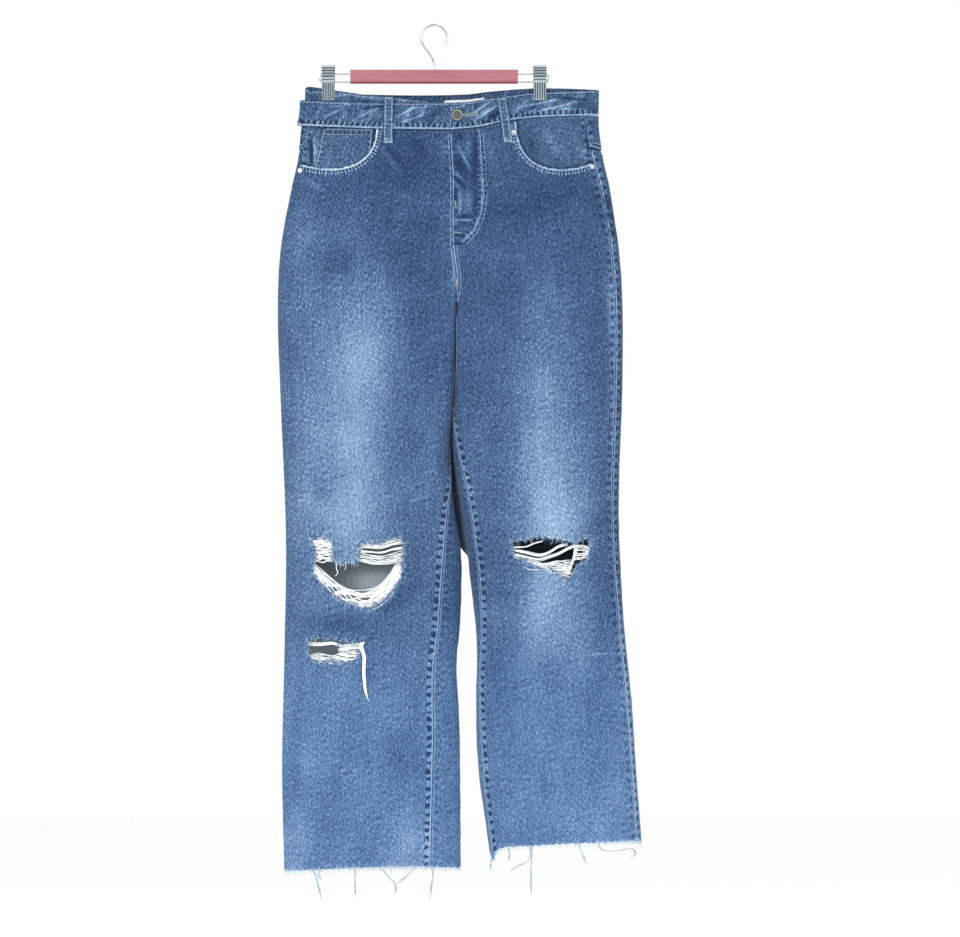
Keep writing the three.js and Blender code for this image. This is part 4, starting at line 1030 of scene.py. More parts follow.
LOOPS = [("front_right", "right", "front", -60, -62, -96, -159, 3.6),
         ("front_left", "left", "front", 91, 100, -97, -158, 0),
         ("side_right", "right", "back", -110, -110, -90, -143, 0),
         ("side_left", "left", "back", 170, 170, -85, -138, 0),
         ("back", "right", "back", 8, 8, -93, -147, 0)]
for name, side, face, x_top, x_foot, z_top, z_foot, stand_off in LOOPS:
    t, v = np.meshgrid(np.linspace(0, 1, 13), np.linspace(0, 1, 56))
    z = mix(z_top, z_foot, v)
    points = skin(side, z, distance_at(side, face, z, mix(x_top, x_foot, v) + (t - 0.5) * 12.5))
    n, wind = normals_of(points, -1 if face == "front" else 1)
    out_by = 2.5 + stand_off * ease(1, 0.74, v) + 1.4 * np.sin(np.pi * np.minimum(1, v * 1.15))
    edge = np.minimum(t, 1 - t) * 12.5
    ends = np.minimum(v, 1 - v) * abs(z_top - z_foot)
    facts = nearest_seam((edge, -z, 9.0, 5.5, 0.45, 0.3), (ends, t * 12.5, 5.0, 4.0, 0.6, 0.3))
    out_by = out_by - 0.5 * ease(1.4, 0, np.minimum(edge, ends)) + 0.3 * seam_relief(facts)
    facts["fade"] = 0.36 + 0.08 * ripple(points[..., 0] * 3, z, 81, 12, 40) + 0.35 * ease(0.82, 0.97, v)
    cloth_piece("denim_loop_" + name, "belt_loop_" + name, points + n * out_by[..., None], wind, t * 12.5,
                facts, 1.8, (0.0125, 0.065), None,
                rests_on=("denim_band_" + ("back" if face == "back" else name),),
                materials=(slate_denim, inside_denim))

# ---- Stitching ----------------------------------------------------------------------------
# Pale blue core-spun thread, 0.7 mm thick, in stitches 3.2 mm long with 0.7 mm between them.
# It holds the band, the loops, the pockets, the fly, the inseams, the yokes and the centre.


def drop(surface, line, face="front"):
    """A line of (x, z) laid on a piece's surface, as points and outward normals."""
    out, points, normals = (-1 if face == "front" else 1), [], []
    for x, z in line:
        hit, normal, _, _ = surfaces[surface].ray_cast(Vector((x / 1000, out * 0.3, z / 1000)),
                                                       Vector((0, -out, 0)))
        if hit is not None:
            points.append(np.array(hit) * 1000)
            normals.append(np.array(normal) * (1 if normal[1] * out > 0 else -1))
    return np.array(points), np.array(normals)


def grid_line(piece, rows=slice(None), columns=slice(None)):
    """A row or column of a piece's own grid, as points and outward normals."""
    points, normals = grids[piece]
    return points[rows, columns].reshape(-1, 3), normals[rows, columns].reshape(-1, 3)


def beside(line, off):
    """The same line of (x, z) moved sideways."""
    line = np.array(line, float)
    way = np.gradient(line, axis=0)
    way /= np.linalg.norm(way, axis=1, keepdims=True)
    return line + off * np.c_[-way[:, 1], way[:, 0]]


def seam_line(side, off, top, foot, face="front"):
    """A line of (x, z) beside the inseam or the centre seam."""
    z = np.arange(top, foot, -4.0)
    inseam = np.where(z > CROTCH, 0, read(INSEAM[side], z))
    reach = face_length(side, face, z)
    distance = reach - inseam + off if face == "front" else -(reach + off)
    keep = distance < reach if face == "front" else distance > -reach
    return np.c_[skin(side, z, distance)[..., 0], z][keep]


def point_at(distance, run, line):
    """The place on a line at a distance along it, where run is its run_along."""
    return np.array([np.interp(distance, run, column) for column in line.T])


def sew(thread, laid, pitch=3.9, length=3.2, radius=0.36, turn=0.0):
    """Adds a row of stitches along laid points: each is a slim spindle pulled in at its ends."""
    points, normals = laid
    if len(points) < 2:
        return
    verts, faces = thread
    run = run_along(points)
    for s in np.arange(0.6, run[-1] - length, pitch):
        a, b = point_at(s, run, points), point_at(s + length, run, points)
        up = point_at(s + length / 2, run, normals)
        way = (b - a) / max(np.linalg.norm(b - a), 1e-6)
        if turn:
            middle, cross = (a + b) / 2, np.cross(way, up)
            a, b, way = middle - cross * turn / 2, middle + cross * turn / 2, cross
        up = up / np.linalg.norm(up)
        wide = np.cross(way, up)
        first = len(verts)
        verts.append(a - up * 0.25)
        for f in (0.2, 0.8):
            core = mix(a, b, f) + up * radius * 0.55
            for k in range(5):
                angle = 2 * math.pi * k / 5
                verts.append(core + radius * (wide * math.cos(angle) + up * math.sin(angle)))
        verts.append(b - up * 0.25)
        for k in range(5):
            j = (k + 1) % 5
            faces.append((first, first + 1 + j, first + 1 + k))
            faces.append((first + 1 + k, first + 1 + j, first + 6 + j, first + 6 + k))
            faces.append((first + 11, first + 6 + k, first + 6 + j))


def thread_piece(name, thread, material):
    """Turns gathered stitches or yarns into one piece, with its faces turned outwards."""
    verts, faces = thread
    mesh = bpy.data.meshes.new(name)
    mesh.from_pydata((np.array(verts) / 1000).tolist(), [], faces)
    mesh.materials.append(material)
    piece = add_object(name, mesh)
    bpy.ops.object.mode_set(mode="EDIT")
    bpy.ops.mesh.select_all(action="SELECT")
    bpy.ops.mesh.normals_make_consistent(inside=False)
    bpy.ops.object.mode_set(mode="OBJECT")
    bpy.ops.object.shade_smooth()
    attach(piece, "root")


def flecked(name, low, high, surface, scale, detail, stretch=None, painted_shade=None):
    """A material whose colour noise mottles between two shades. Painted shade, a third colour,
    is laid where a mesh is marked for it. Surface holds the rest of the main shader's inputs."""
    m, shader = new_material(name)
    where = (node(m, "ShaderNodeTexCoord"), 3)
    if stretch:
        where = (node(m, "ShaderNodeMapping", [("Vector", where), ("Scale", stretch)],
                      vector_type="TEXTURE"), 0)
    noise = node(m, "ShaderNodeTexNoise", [("Vector", where), ("Scale", scale), ("Detail", detail)])
    shade = node(m, "ShaderNodeMix", [(0, (noise, 0)), (6, linear(low)), (7, linear(high))],
                 data_type="RGBA")
    if painted_shade:
        painted_shade_depth = node(m, "ShaderNodeAttribute", attribute_name="painted_shade_depth", attribute_type="GEOMETRY")
        shade = node(m, "ShaderNodeMix", [(0, (painted_shade_depth, 2)), (6, (shade, 2)), (7, linear(painted_shade))],
                     data_type="RGBA")
    set_inputs(m, shader, [("Base Color", (shade, 2)), *surface.items()])
    return m, shader, noise


def yarn(name, low, high, rough):
    """Spun cotton: matt, with soft flecks a few millimetres long where the twist opens."""
    return flecked(name, low, high, {"Roughness": rough, "Specular IOR Level": 0.2}, 420.0, 2.0)[0]


sewing_thread = yarn("pale_blue_core_spun_thread", "#86a6c8", "#c3d9ea", 0.75)
tack_thread = yarn("grey_green_tack_thread", "#6f8a86", "#a9bcae", 0.75)

seams = ([], [])
for name, rows in (("front_right", (2, 26)), ("front_left", (2, 30)), ("fold", (2,)), ("back", (2, 22))):
    for row in rows:
        sew(seams, grid_line("denim_band_" + name, rows=row))
for name, *_ in LOOPS:
    for column in (2, 10):
        sew(seams, grid_line("denim_loop_" + name, columns=column), 2.9, 2.3, 0.32)
for side in ("right", "left"):
    front, back = "denim_front_" + side, "denim_back_" + side
    for off in (2.3, 6.6):
        line = beside(MOUTH[side][1:] if side == "right" else MOUTH[side], -off)
        sew(seams, drop(front, line))
    sew(seams, drop(front, seam_line(side, -1.5, -392, -1132)), 3.6, 2.9, 0.3)
    sew(seams, drop(back, seam_line(side, 1.4, -440, -1132)), 3.6, 2.9, 0.26)
    sew(seams, drop(back, seam_line(side, -2.2, -210, -380, "back"), "back"))
    for row in (24, 21):
        sew(seams, grid_line("denim_yoke_" + side, rows=row))
    pocket = "denim_back_pocket_" + side
    for edge in (1, 4):
        for rows, columns in ((edge, slice(1, 61)), (59 - edge, slice(edge, 62 - edge)),
                              (slice(1, 59), edge), (slice(1, 59), 61 - edge)):
            sew(seams, grid_line(pocket, rows, columns))
for rows, columns in ((1, slice(1, 45)), (4, slice(1, 45)), (slice(1, 35), 1), (slice(1, 35), 44)):
    sew(seams, grid_line("denim_coin_pocket", rows, columns), 3.2, 2.6, 0.3)
for off in (0.6, 5.6):
    sew(seams, drop("denim_front_left", beside(FLY, off)))
for off in (-2.2, -6.2):
    sew(seams, drop("denim_front_left", seam_line("left", off, -296, -378)))
sew(seams, drop("denim_front_left", seam_line("left", -1.6, -146, -290)), 3.4, 2.8, 0.3)
thread_piece("thread_seams", seams, sewing_thread)

# Bar tacks hold the fly, the pocket mouths and the ends of the loops. The buttonhole is
# closely whipped all round, with a keyhole end.
tacks = ([], [])
for surface, line in (("denim_front_left", [(25, -279), (37, -280)]),
                      ("denim_front_left", [(28, -236), (30, -248)]),
                      ("denim_front_left", [(106, -146), (112, -147)]),
                      ("denim_front_left", [(209, -183), (217, -182)]),
                      ("denim_front_right", [(-84, -147), (-76, -147)]),
                      ("denim_front_right", [(-186, -189), (-178, -189)])):
    sew(tacks, drop(surface, np.linspace(*line, 12)), 0.75, 0.6, 0.34, 2.4)
hole = [(41.0 + 15.5 * f, -121.6 + f) for f in np.linspace(0, 1, 22)]
hole += [(56.5 + 2.6 * math.cos(a), -119.1 + 2.6 * math.sin(a)) for a in np.linspace(-2.0, 2.0, 12)]
hole += [(56.5 - 15.5 * f, -117.9 - f) for f in np.linspace(0, 1, 22)]
hole += [(39.2, -119.2), (39.2, -121.0), (41.0, -121.6)]
sew(tacks, drop("denim_band_front_left", hole), 0.85, 0.7, 0.36, 1.9)
for name, *_ in LOOPS:
    for row in (2, 53):
        sew(tacks, grid_line("denim_loop_" + name, rows=row, columns=slice(1, 12)), 0.8, 0.6, 0.32, 2.0)
thread_piece("thread_tacks_and_buttonhole", tacks, tack_thread)

# ---- Torn weft and frayed edges -----------------------------------------------------------
# Where the blue warp has worn away, the bleached weft yarns are left strung across the holes.
# They sag in bundles. Short curled ends of yarn stand round every raw edge and hang from the
# hems.
weft_yarn = yarn("bleached_weft_yarn", "#e9f3f4", "#ffffff", 0.9)
frayed_yarn = yarn("frayed_blue_white_yarn", "#a9c4e0", "#e6f1f8", 0.9)
dice = np.random.default_rng(7)


def front_y(side, x, z):
    """Where the front of the cloth lies, from front to back, at x and z."""
    return skin(side, z, distance_at(side, "front", z, x))[..., 1]


def strand(thread, path, radius, tip=0.5, sides=4):
    """Adds a yarn along a path of 3-D points, thinner towards its ends."""
    verts, faces = thread
    path = np.array(path, float)
    way = np.gradient(path, axis=0)
    way /= np.maximum(np.linalg.norm(way, axis=1, keepdims=True), 1e-6)
    u = np.cross(way, (0.0, 1.0, 0.12))
    u /= np.maximum(np.linalg.norm(u, axis=1, keepdims=True), 1e-6)
    w = np.cross(way, u)
    share = np.linspace(-1, 1, len(path))
    thick = radius * mix(tip, 1, np.clip((1 - abs(share)) * 5, 0, 1))
    first = len(verts)
    for k in range(sides):
        angle = 2 * math.pi * k / sides
        ring = path + thick[:, None] * (u * math.cos(angle) + w * math.sin(angle))
        verts.extend(ring)
    count = len(path)
    for k in range(sides):
        a, b = first + k * count, first + ((k + 1) % sides) * count
        faces.extend((a + i, b + i, b + i + 1, a + i + 1) for i in range(count - 1))
    faces.append(tuple(first + k * count for k in range(sides))[::-1])
    faces.append(tuple(first + k * count + count - 1 for k in range(sides)))


def smooth_line(points, count):
    """A smooth line through points, evenly divided."""
    points = np.array(points, float)
    at = run_along(points)
    even = np.linspace(0, at[-1], count)
    return np.c_[tuple(read(list(zip(at, points[:, k])), even) for k in range(points.shape[1]))]


def weft(thread, side, upper, lower, count, radius=0.46, wave=1.0, gaps=(), sag=0.0):
    """Yarns strung between an upper and a lower line of (x, z), more or less side by side.
    gaps are places (x, z, half width, half height) that yarns draw away from."""
    upper, lower = smooth_line(upper, 26), smooth_line(lower, 26)
    f = np.linspace(0, 1, 26)
    for k in range(count):
        share = np.clip((k + 0.5 + dice.uniform(-0.45, 0.45)) / count, 0, 1)
        line = mix(upper, lower, share)
        wander = sum(np.sin(2 * np.pi * (f * dice.uniform(0.5, 2.6) + dice.uniform())) for _ in range(3))
        line[:, 1] += wave * 0.42 * wander - sag * dice.uniform(0.3, 1) * np.sin(np.pi * f)
        for x, z, wide, tall in gaps:
            near = np.exp(-(((line[:, 0] - x) / wide) ** 4))
            push = np.where(line[:, 1] > z, 1.0, -1.0)
            line[:, 1] += push * near * np.clip(tall - abs(line[:, 1] - z), 0, None)
        line[:, 0] += np.linspace(-1, 1, 26) * dice.uniform(0.5, 3.0) * np.sign(line[-1, 0] - line[0, 0])
        y = front_y(side, line[:, 0], line[:, 1]) + 0.9 + dice.uniform(0, 1.3)
        y = y - 1.2 * np.sin(np.pi * f) * dice.uniform(0.1, 1)
        strand(thread, np.c_[line[:, 0], y, line[:, 1]], radius * dice.uniform(0.7, 1.35))


def lone(thread, side, points, radius, lift=1.4, count=18, strands=1, width=0.0):
    """Loose yarns that hang in front of the cloth, apart at their foot."""
    line = smooth_line(points, count)
    f = np.linspace(0, 1, count)
    y = front_y(side, line[:, 0], line[:, 1]) - lift - 0.8 * np.sin(np.pi * f)
    for k in range(strands):
        turn = 2 * math.pi * (k / max(strands, 1)) + 5 * f
        off = width * 0.5 * (1 - 0.5 * f)[:, None] * np.c_[np.cos(turn), np.sin(turn)]
        stop = count - int(dice.uniform(0, 0.3) * count) if strands > 1 else count
        path = np.c_[line[:, 0] + off[:, 0] + 0.4 * np.sin(9 * f + k), y - abs(off[:, 1]), line[:, 1]]
        strand(thread, path[:stop], radius * dice.uniform(0.8, 1.1))


knee = ([], [])
weft(knee, "right", [(-166, -691), (-134, -692)], [(-167, -724), (-134, -723)], 46,
     wave=1.8, gaps=[(-149, -705, 4, 2.0), (-142, -717, 3, 1.8), (-157, -714, 3, 1.2)])
weft(knee, "right", [(-103, -697), (-80, -699), (-60, -694), (-39, -691)],
     [(-103, -705), (-83, -706), (-70, -707), (-54, -702), (-39, -700)], 9, wave=0.8)
weft(knee, "right", [(-103, -707), (-85, -710), (-70, -710), (-55, -705.5), (-39, -703)],
     [(-103, -710), (-88, -711), (-72, -712.5), (-58, -708.5), (-39, -707)], 4, wave=0.6)
weft(knee, "right", [(-103, -711), (-88, -714), (-74, -716), (-60, -713.5), (-39, -709)],
     [(-103, -723), (-86, -727), (-70, -729), (-56, -726), (-39, -720)], 13, wave=1.0,
     gaps=[(-49, -716, 4, 1.0), (-80, -721, 5, 0.9)])
inner_edge = [(-164, -726), (-156.6, -732), (-141.8, -744), (-128.3, -753.5), (-113.4, -760),
              (-94.5, -762), (-75.6, -757.5), (-63.5, -745.5), (-51.3, -724)]
outer_edge = [(-167, -732), (-156, -752), (-141.8, -766), (-126.9, -777), (-105.3, -786),
              (-85.1, -789.5), (-69, -780), (-54, -763), (-40, -722)]
weft(knee, "right", inner_edge, outer_edge, 30, radius=0.52, wave=2.6,
     gaps=[(-139, -760.5, 12, 3.4), (-117, -771, 12, 3.0), (-92, -774, 7, 2.6), (-66, -763, 5, 2.4)])
lone(knee, "right", [(-133, -723), (-131.5, -733), (-130, -738.4), (-133.6, -743.2)], 0.55)
lone(knee, "right", [(-120, -725), (-119, -731), (-121, -735)], 0.4)
thread_piece("weft_right_knee", knee, weft_yarn)

shin = ([], [])
weft(shin, "right", [(-172, -832), (-153, -833), (-136, -831.5), (-123, -835), (-96, -832.5)],
     [(-172, -836.5), (-153, -837.5), (-136, -836), (-123, -840), (-96, -838)], 6, wave=0.5)
weft(shin, "right", [(-128, -840), (-112, -839), (-95, -838)], [(-128, -850), (-112, -851), (-95, -849)], 9,
     wave=0.8, gaps=[(-111, -849, 4, 1.0)])
weft(shin, "right", [(-170, -848), (-150, -848.5), (-128, -849), (-106, -850)],
     [(-168, -861), (-145, -861), (-128, -862), (-106, -859)], 16, wave=2.0, sag=0.8)
lone(shin, "right", [(-95.6, -832.4), (-98.7, -838), (-94.1, -851), (-94.5, -870.5), (-93.3, -890),
                     (-90.2, -909), (-88.3, -912.3)], 0.62, 1.6, 26, 11, 4.6)
thread_piece("weft_right_shin", shin, weft_yarn)

left_knee = ([], [])
weft(left_knee, "left", [(105, -703), (123.5, -702.5), (133.9, -698.2), (146, -694.5)],
     [(105, -705), (123.5, -704.5), (133.9, -700.2), (146, -697)], 3, wave=0.4)
weft(left_knee, "left", [(105, -705.5), (125.3, -709.4), (142.4, -712.9), (154.6, -709.4), (166.6, -701.7),
                     (179, -698)],
     [(105, -709), (125.3, -713.2), (142.4, -716.7), (154.6, -713.2), (166.6, -705.5), (179, -702)], 6,
     wave=0.4)
weft(left_knee, "left", [(106, -711), (127.8, -716.5), (142.4, -719), (154.6, -715.5), (166.6, -711),
                     (180.4, -703.5), (191, -699)],
     [(106, -714), (127.8, -720), (142.4, -722.8), (154.6, -719), (166.6, -714.8), (180.4, -707),
      (191, -703)], 5, wave=0.4)
weft(left_knee, "left", [(106, -714), (124, -721), (142, -724), (152, -724), (168, -724), (184, -722)],
     [(110, -731), (128, -735), (144, -737), (160, -741), (172, -745), (184, -748)], 27, wave=2.6,
     gaps=[(146.5, -733, 3, 1.8), (160, -736.5, 7, 1.8)])
weft(left_knee, "left", [(187.5, -700), (187, -712), (184.5, -726), (181, -742)],
     [(191.5, -698), (191.5, -711), (189, -724), (184, -741)], 4, wave=0.8)
weft(left_knee, "left", [(190, -700), (200, -701), (210, -703)],
     [(190, -723), (198, -722), (207, -716)], 12, wave=0.8, gaps=[(198, -710.5, 5, 2.2)])
thread_piece("weft_left_knee", left_knee, weft_yarn)


def wisps(thread, side, outline, step=1.5, long=6.5, thick=1.0):
    """Short curled ends of yarn all round a torn edge, some over the cloth, some into the hole."""
    line = np.array(outline + outline[:1], float)
    at = run_along(line)
    for s in np.arange(0, at[-1], step):
        s = s + dice.uniform(-0.5, 0.5) * step
        p, q = point_at(s, at, line), point_at(s + 1, at, line)
        along = (q - p) / max(np.linalg.norm(q - p), 1e-6)
        over = np.array([-along[1], along[0]])
        over = over if clear_of(np.array([p[0] + over[0] * 3]), np.array([p[1] + over[1] * 3]),
                                outline)[0] > 0 else -over
        over = over * (1 if dice.uniform() < 0.62 else -0.8)
        length, bend = dice.uniform(0.35, 1) * long, dice.uniform(-1.5, 1.5)
        f = np.linspace(0, 1, 6)[:, None]
        turn = bend * f * 2.2
        path = p + length * f * (over * np.cos(turn) + along * np.sin(turn)) - over * 1.2
        rise = 0.25 + dice.uniform(0.2, 1.5) * np.sin(np.pi * f[:, 0] * 0.8)
        y = front_y(side, path[:, 0], path[:, 1]) - rise
        strand(thread, np.c_[path[:, 0], y, path[:, 1]], thick * dice.uniform(0.2, 0.36), 0.4, 3)


edges, blue_edges = ([], []), ([], [])
for side, names in RIPS.items():
    for name in names:
        wisps(edges, side, RIP[name], 2.0, 7.5)
        wisps(blue_edges, side, RIP[name], 1.5, 8.5, thick=1.35)
thread_piece("fray_round_rips", edges, frayed_yarn)
thread_piece("warp_ends_round_rips", blue_edges, yarn("indigo_warp_ends", "#24406b", "#6288b8", 0.9))

# The hems are cut raw, so warp ends hang 2 to 8 mm below them, with a few long ravelled yarns.
hem_yarn = yarn("ravelled_grey_blue_yarn", "#6c8299", "#d7e4ee", 0.9)
hems, ravelled = ([], []), ([], [])
for side in ("right", "left"):
    for face in ("front", "back"):
        points, normals = grid_line("denim_%s_%s" % (face, side), rows=-1)
        at = run_along(points)
        for s in np.arange(1, at[-1] - 1, 0.85):
            p, n = point_at(s, at, points), point_at(s, at, normals)
            length = dice.choice([2.2, 3.0, 4.0, 5.2, 8.5], p=[0.3, 0.3, 0.2, 0.14, 0.06])
            lean, curl = dice.uniform(-0.5, 0.5), dice.uniform(-1.2, 1.2)
            f = np.linspace(0, 1, 5)
            aside = np.outer(lean * f * length * 0.5 + curl * f * f, np.cross(n, (0, 0, 1)))
            down = np.outer(f, (0, 0, length + 1.4))
            path = p + (0, 0, 1.6) - n * dice.uniform(0.2, 1.4) - down + aside
            strand(hems, path, dice.uniform(0.2, 0.36), 0.4, 3)
LONG_YARNS = [
    ("right", [(-163, -1139), (-157, -1158), (-151.5, -1183)]),
    ("right", [(-107, -1135), (-106.5, -1160), (-107, -1183)]),
    ("right", [(-71.5, -1138), (-62, -1149), (-52, -1160), (-53, -1175), (-54, -1183)]),
    ("right", [(-24, -1134), (-36, -1147), (-51, -1159)]),
    ("right", [(-5, -1134), (-1.5, -1147), (-4, -1165), (-7, -1183)]),
    ("right", [(-152, -1138), (-156, -1146), (-150, -1156)]),
    ("left", [(77, -1124), (76.5, -1142)]),
    ("left", [(130, -1106), (127.5, -1126), (109, -1136), (99, -1148)]),
    ("left", [(131.5, -1106), (131, -1150), (130.5, -1183)]),
    ("left", [(194, -1103), (200, -1118), (206.5, -1133)]),
    ("left", [(220, -1101), (226, -1112), (246, -1113.5), (268, -1111), (272, -1118), (252, -1135)]),
    ("left", [(100, -1110), (102, -1120), (98, -1130)]),
]
for side, points in LONG_YARNS:
    lone(ravelled, side, points, 0.72, 0.6, 18, 2, 1.6)
thread_piece("fray_at_hems", hems, frayed_yarn)
thread_piece("long_hem_yarns", ravelled, hem_yarn)

# ---- Waist button -------------------------------------------------------------------------
# A shank button of brass plated with nickel, aged dull: a turned disc with a raised rolled
# rim, a sunk ring and a small domed boss in the middle, pinned through the band.
button_metal, shader, worn = flecked("aged_nickel_on_brass", "#7c807a", "#d9ddd6",
                                     {"Metallic": 0.75}, 420.0, 4.0, painted_shade="#23261f")
dull = node(button_metal, "ShaderNodeMapRange", [("Value", (worn, 0)), ("To Min", 0.5),
            ("To Max", 0.28)])
set_inputs(button_metal, shader, [("Roughness", (dull, 0))])


def select_faces(thing, test):
    """In edit mode, selects the faces whose centre passes a test."""
    bpy.ops.mesh.select_all(action="DESELECT")
    bpy.ops.object.mode_set(mode="OBJECT")
    for face in thing.data.polygons:
        face.select = bool(test(face.center, face.normal))
    bpy.ops.object.mode_set(mode="EDIT")
    bpy.ops.mesh.select_mode(type="FACE")


def set_painted_shade(thing, depth_at):
    """Marks how much painted shade each point takes, 0 to 1."""
    places = np.zeros(len(thing.data.vertices) * 3)
    thing.data.vertices.foreach_get("co", places)
    depths = np.clip(depth_at(*(places.reshape(-1, 3).T * 1000)), 0, 1).astype(np.float32)
    thing.data.attributes.new("painted_shade_depth", "FLOAT", "POINT").data.foreach_set("value", depths)


def turned(name, radius, height, steps, sides):
    """A disc with its top shaped by insets and lifts: (inset, lift) in mm, one after another."""
    bpy.ops.object.select_all(action="DESELECT")
    bpy.ops.mesh.primitive_cylinder_add(vertices=sides, radius=radius / 1000, depth=height / 1000,
                                        location=(0, 0, height / 2000))
    thing = bpy.context.object
    thing.name = name
    bpy.ops.object.transform_apply(location=True)
    bpy.ops.object.mode_set(mode="EDIT")
    select_faces(thing, lambda c, n: n.z > 0.9)
    for inset, lift in steps:
        bpy.ops.mesh.inset(thickness=inset / 1000, depth=lift / 1000)
    bpy.ops.object.mode_set(mode="OBJECT")
    return thing


def set_on(thing, surface, x, z, off, material, node_name):
    """Seats a turned piece on a surface, facing out along its normal."""
    hit, normal, _, _ = surfaces[surface].ray_cast(Vector((x / 1000, -0.3, z / 1000)), Vector((0, 1, 0)))
    normal = normal if normal.y < 0 else -normal
    thing.rotation_euler = normal.to_track_quat("Z", "Y").to_euler()
    thing.location = hit + normal * off / 1000
    take_only(thing)
    bpy.ops.object.transform_apply(location=True, rotation=True, scale=True)
    bpy.ops.object.shade_smooth_by_angle(angle=math.radians(40))
    thing.data.materials.append(material)
    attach(thing, "root")
    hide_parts(node_name)


button = turned("waist_button", 3.4, 1.0, [(0.01, 0.0)], 40)
bpy.ops.object.mode_set(mode="EDIT")
select_faces(button, lambda c, n: n.z > 0.9)
bpy.ops.mesh.extrude_region_move(TRANSFORM_OT_translate={"value": (0, 0, 0.0001)})
bpy.ops.transform.resize(value=(2.09, 2.09, 1))
for inset, lift in ((-0.1, 0.35), (0.0, 0.75), (0.28, 0.35), (0.55, 0.1), (0.45, -0.5), (0.5, -0.25),
                    (1.7, 0.0), (0.4, 0.45), (0.5, 0.3), (0.6, 0.1)):
    bpy.ops.mesh.inset(thickness=max(inset, 0.0) / 1000, depth=lift / 1000)
bpy.ops.object.mode_set(mode="OBJECT")
# Painted shade in the sunk ring and round the rim's outer side.
set_painted_shade(button, lambda x, y, z: np.exp(-(((np.hypot(x, y) - 4.5) / 1.0) ** 2)) * (z > 1.2)
           + ease(6.7, 7.1, np.hypot(x, y)) * 0.8)
set_on(button, "denim_band_front_left", 31, -120.4, 0.5, button_metal, "button")

# ---- Rivets -------------------------------------------------------------------------------
# Three bright nickel rivets at the ends of the pocket mouths, pressed through all the layers
# of denim there. Each is a flat collar round a low nub.
rivet_metal = flecked("bright_nickel_plate", "#a9adb0", "#e6eaec",
                      {"Metallic": 0.85, "Roughness": 0.3}, 700.0, 3.0)[0]
for node_name, surface, x, z in (("rivet_front_left", "denim_front_left", 107.4, -143.5),
                                 ("rivet_side_left", "denim_front_left", 213.5, -190.5),
                                 ("rivet_side_right", "denim_front_right", -181, -195.5)):
    rivet = turned("nickel_" + node_name, 3.3, 0.5, [(0.35, 0.35), (0.9, 0.0), (0.15, -0.2), (0.3, 0.5),
                                                     (0.45, 0.35), (0.4, 0.1)], 28)
    set_on(rivet, surface, x, z, 0.4, rivet_metal, node_name)

# ---- Clips --------------------------------------------------------------------------------
# Two spring clips of pressed and plated steel, a pair of jaws each on a pin. A jaw is bent at
# the knee, with level ribs for the fingers above and upright flutes down to the grip.
clip_steel = flecked("zinc_plated_pressed_steel", "#6d818a", "#cfdde2",
                     {"Metallic": 0.55, "Roughness": 0.34}, 1.0, 3.0,
                     stretch=(0.0006, 0.0006, 0.006), painted_shade="#1d282e")[0]
CLIP_HALF, PIN_Z, RIB_PITCH, FLUTES = 8.75, -70.35, 3.6, 5.5


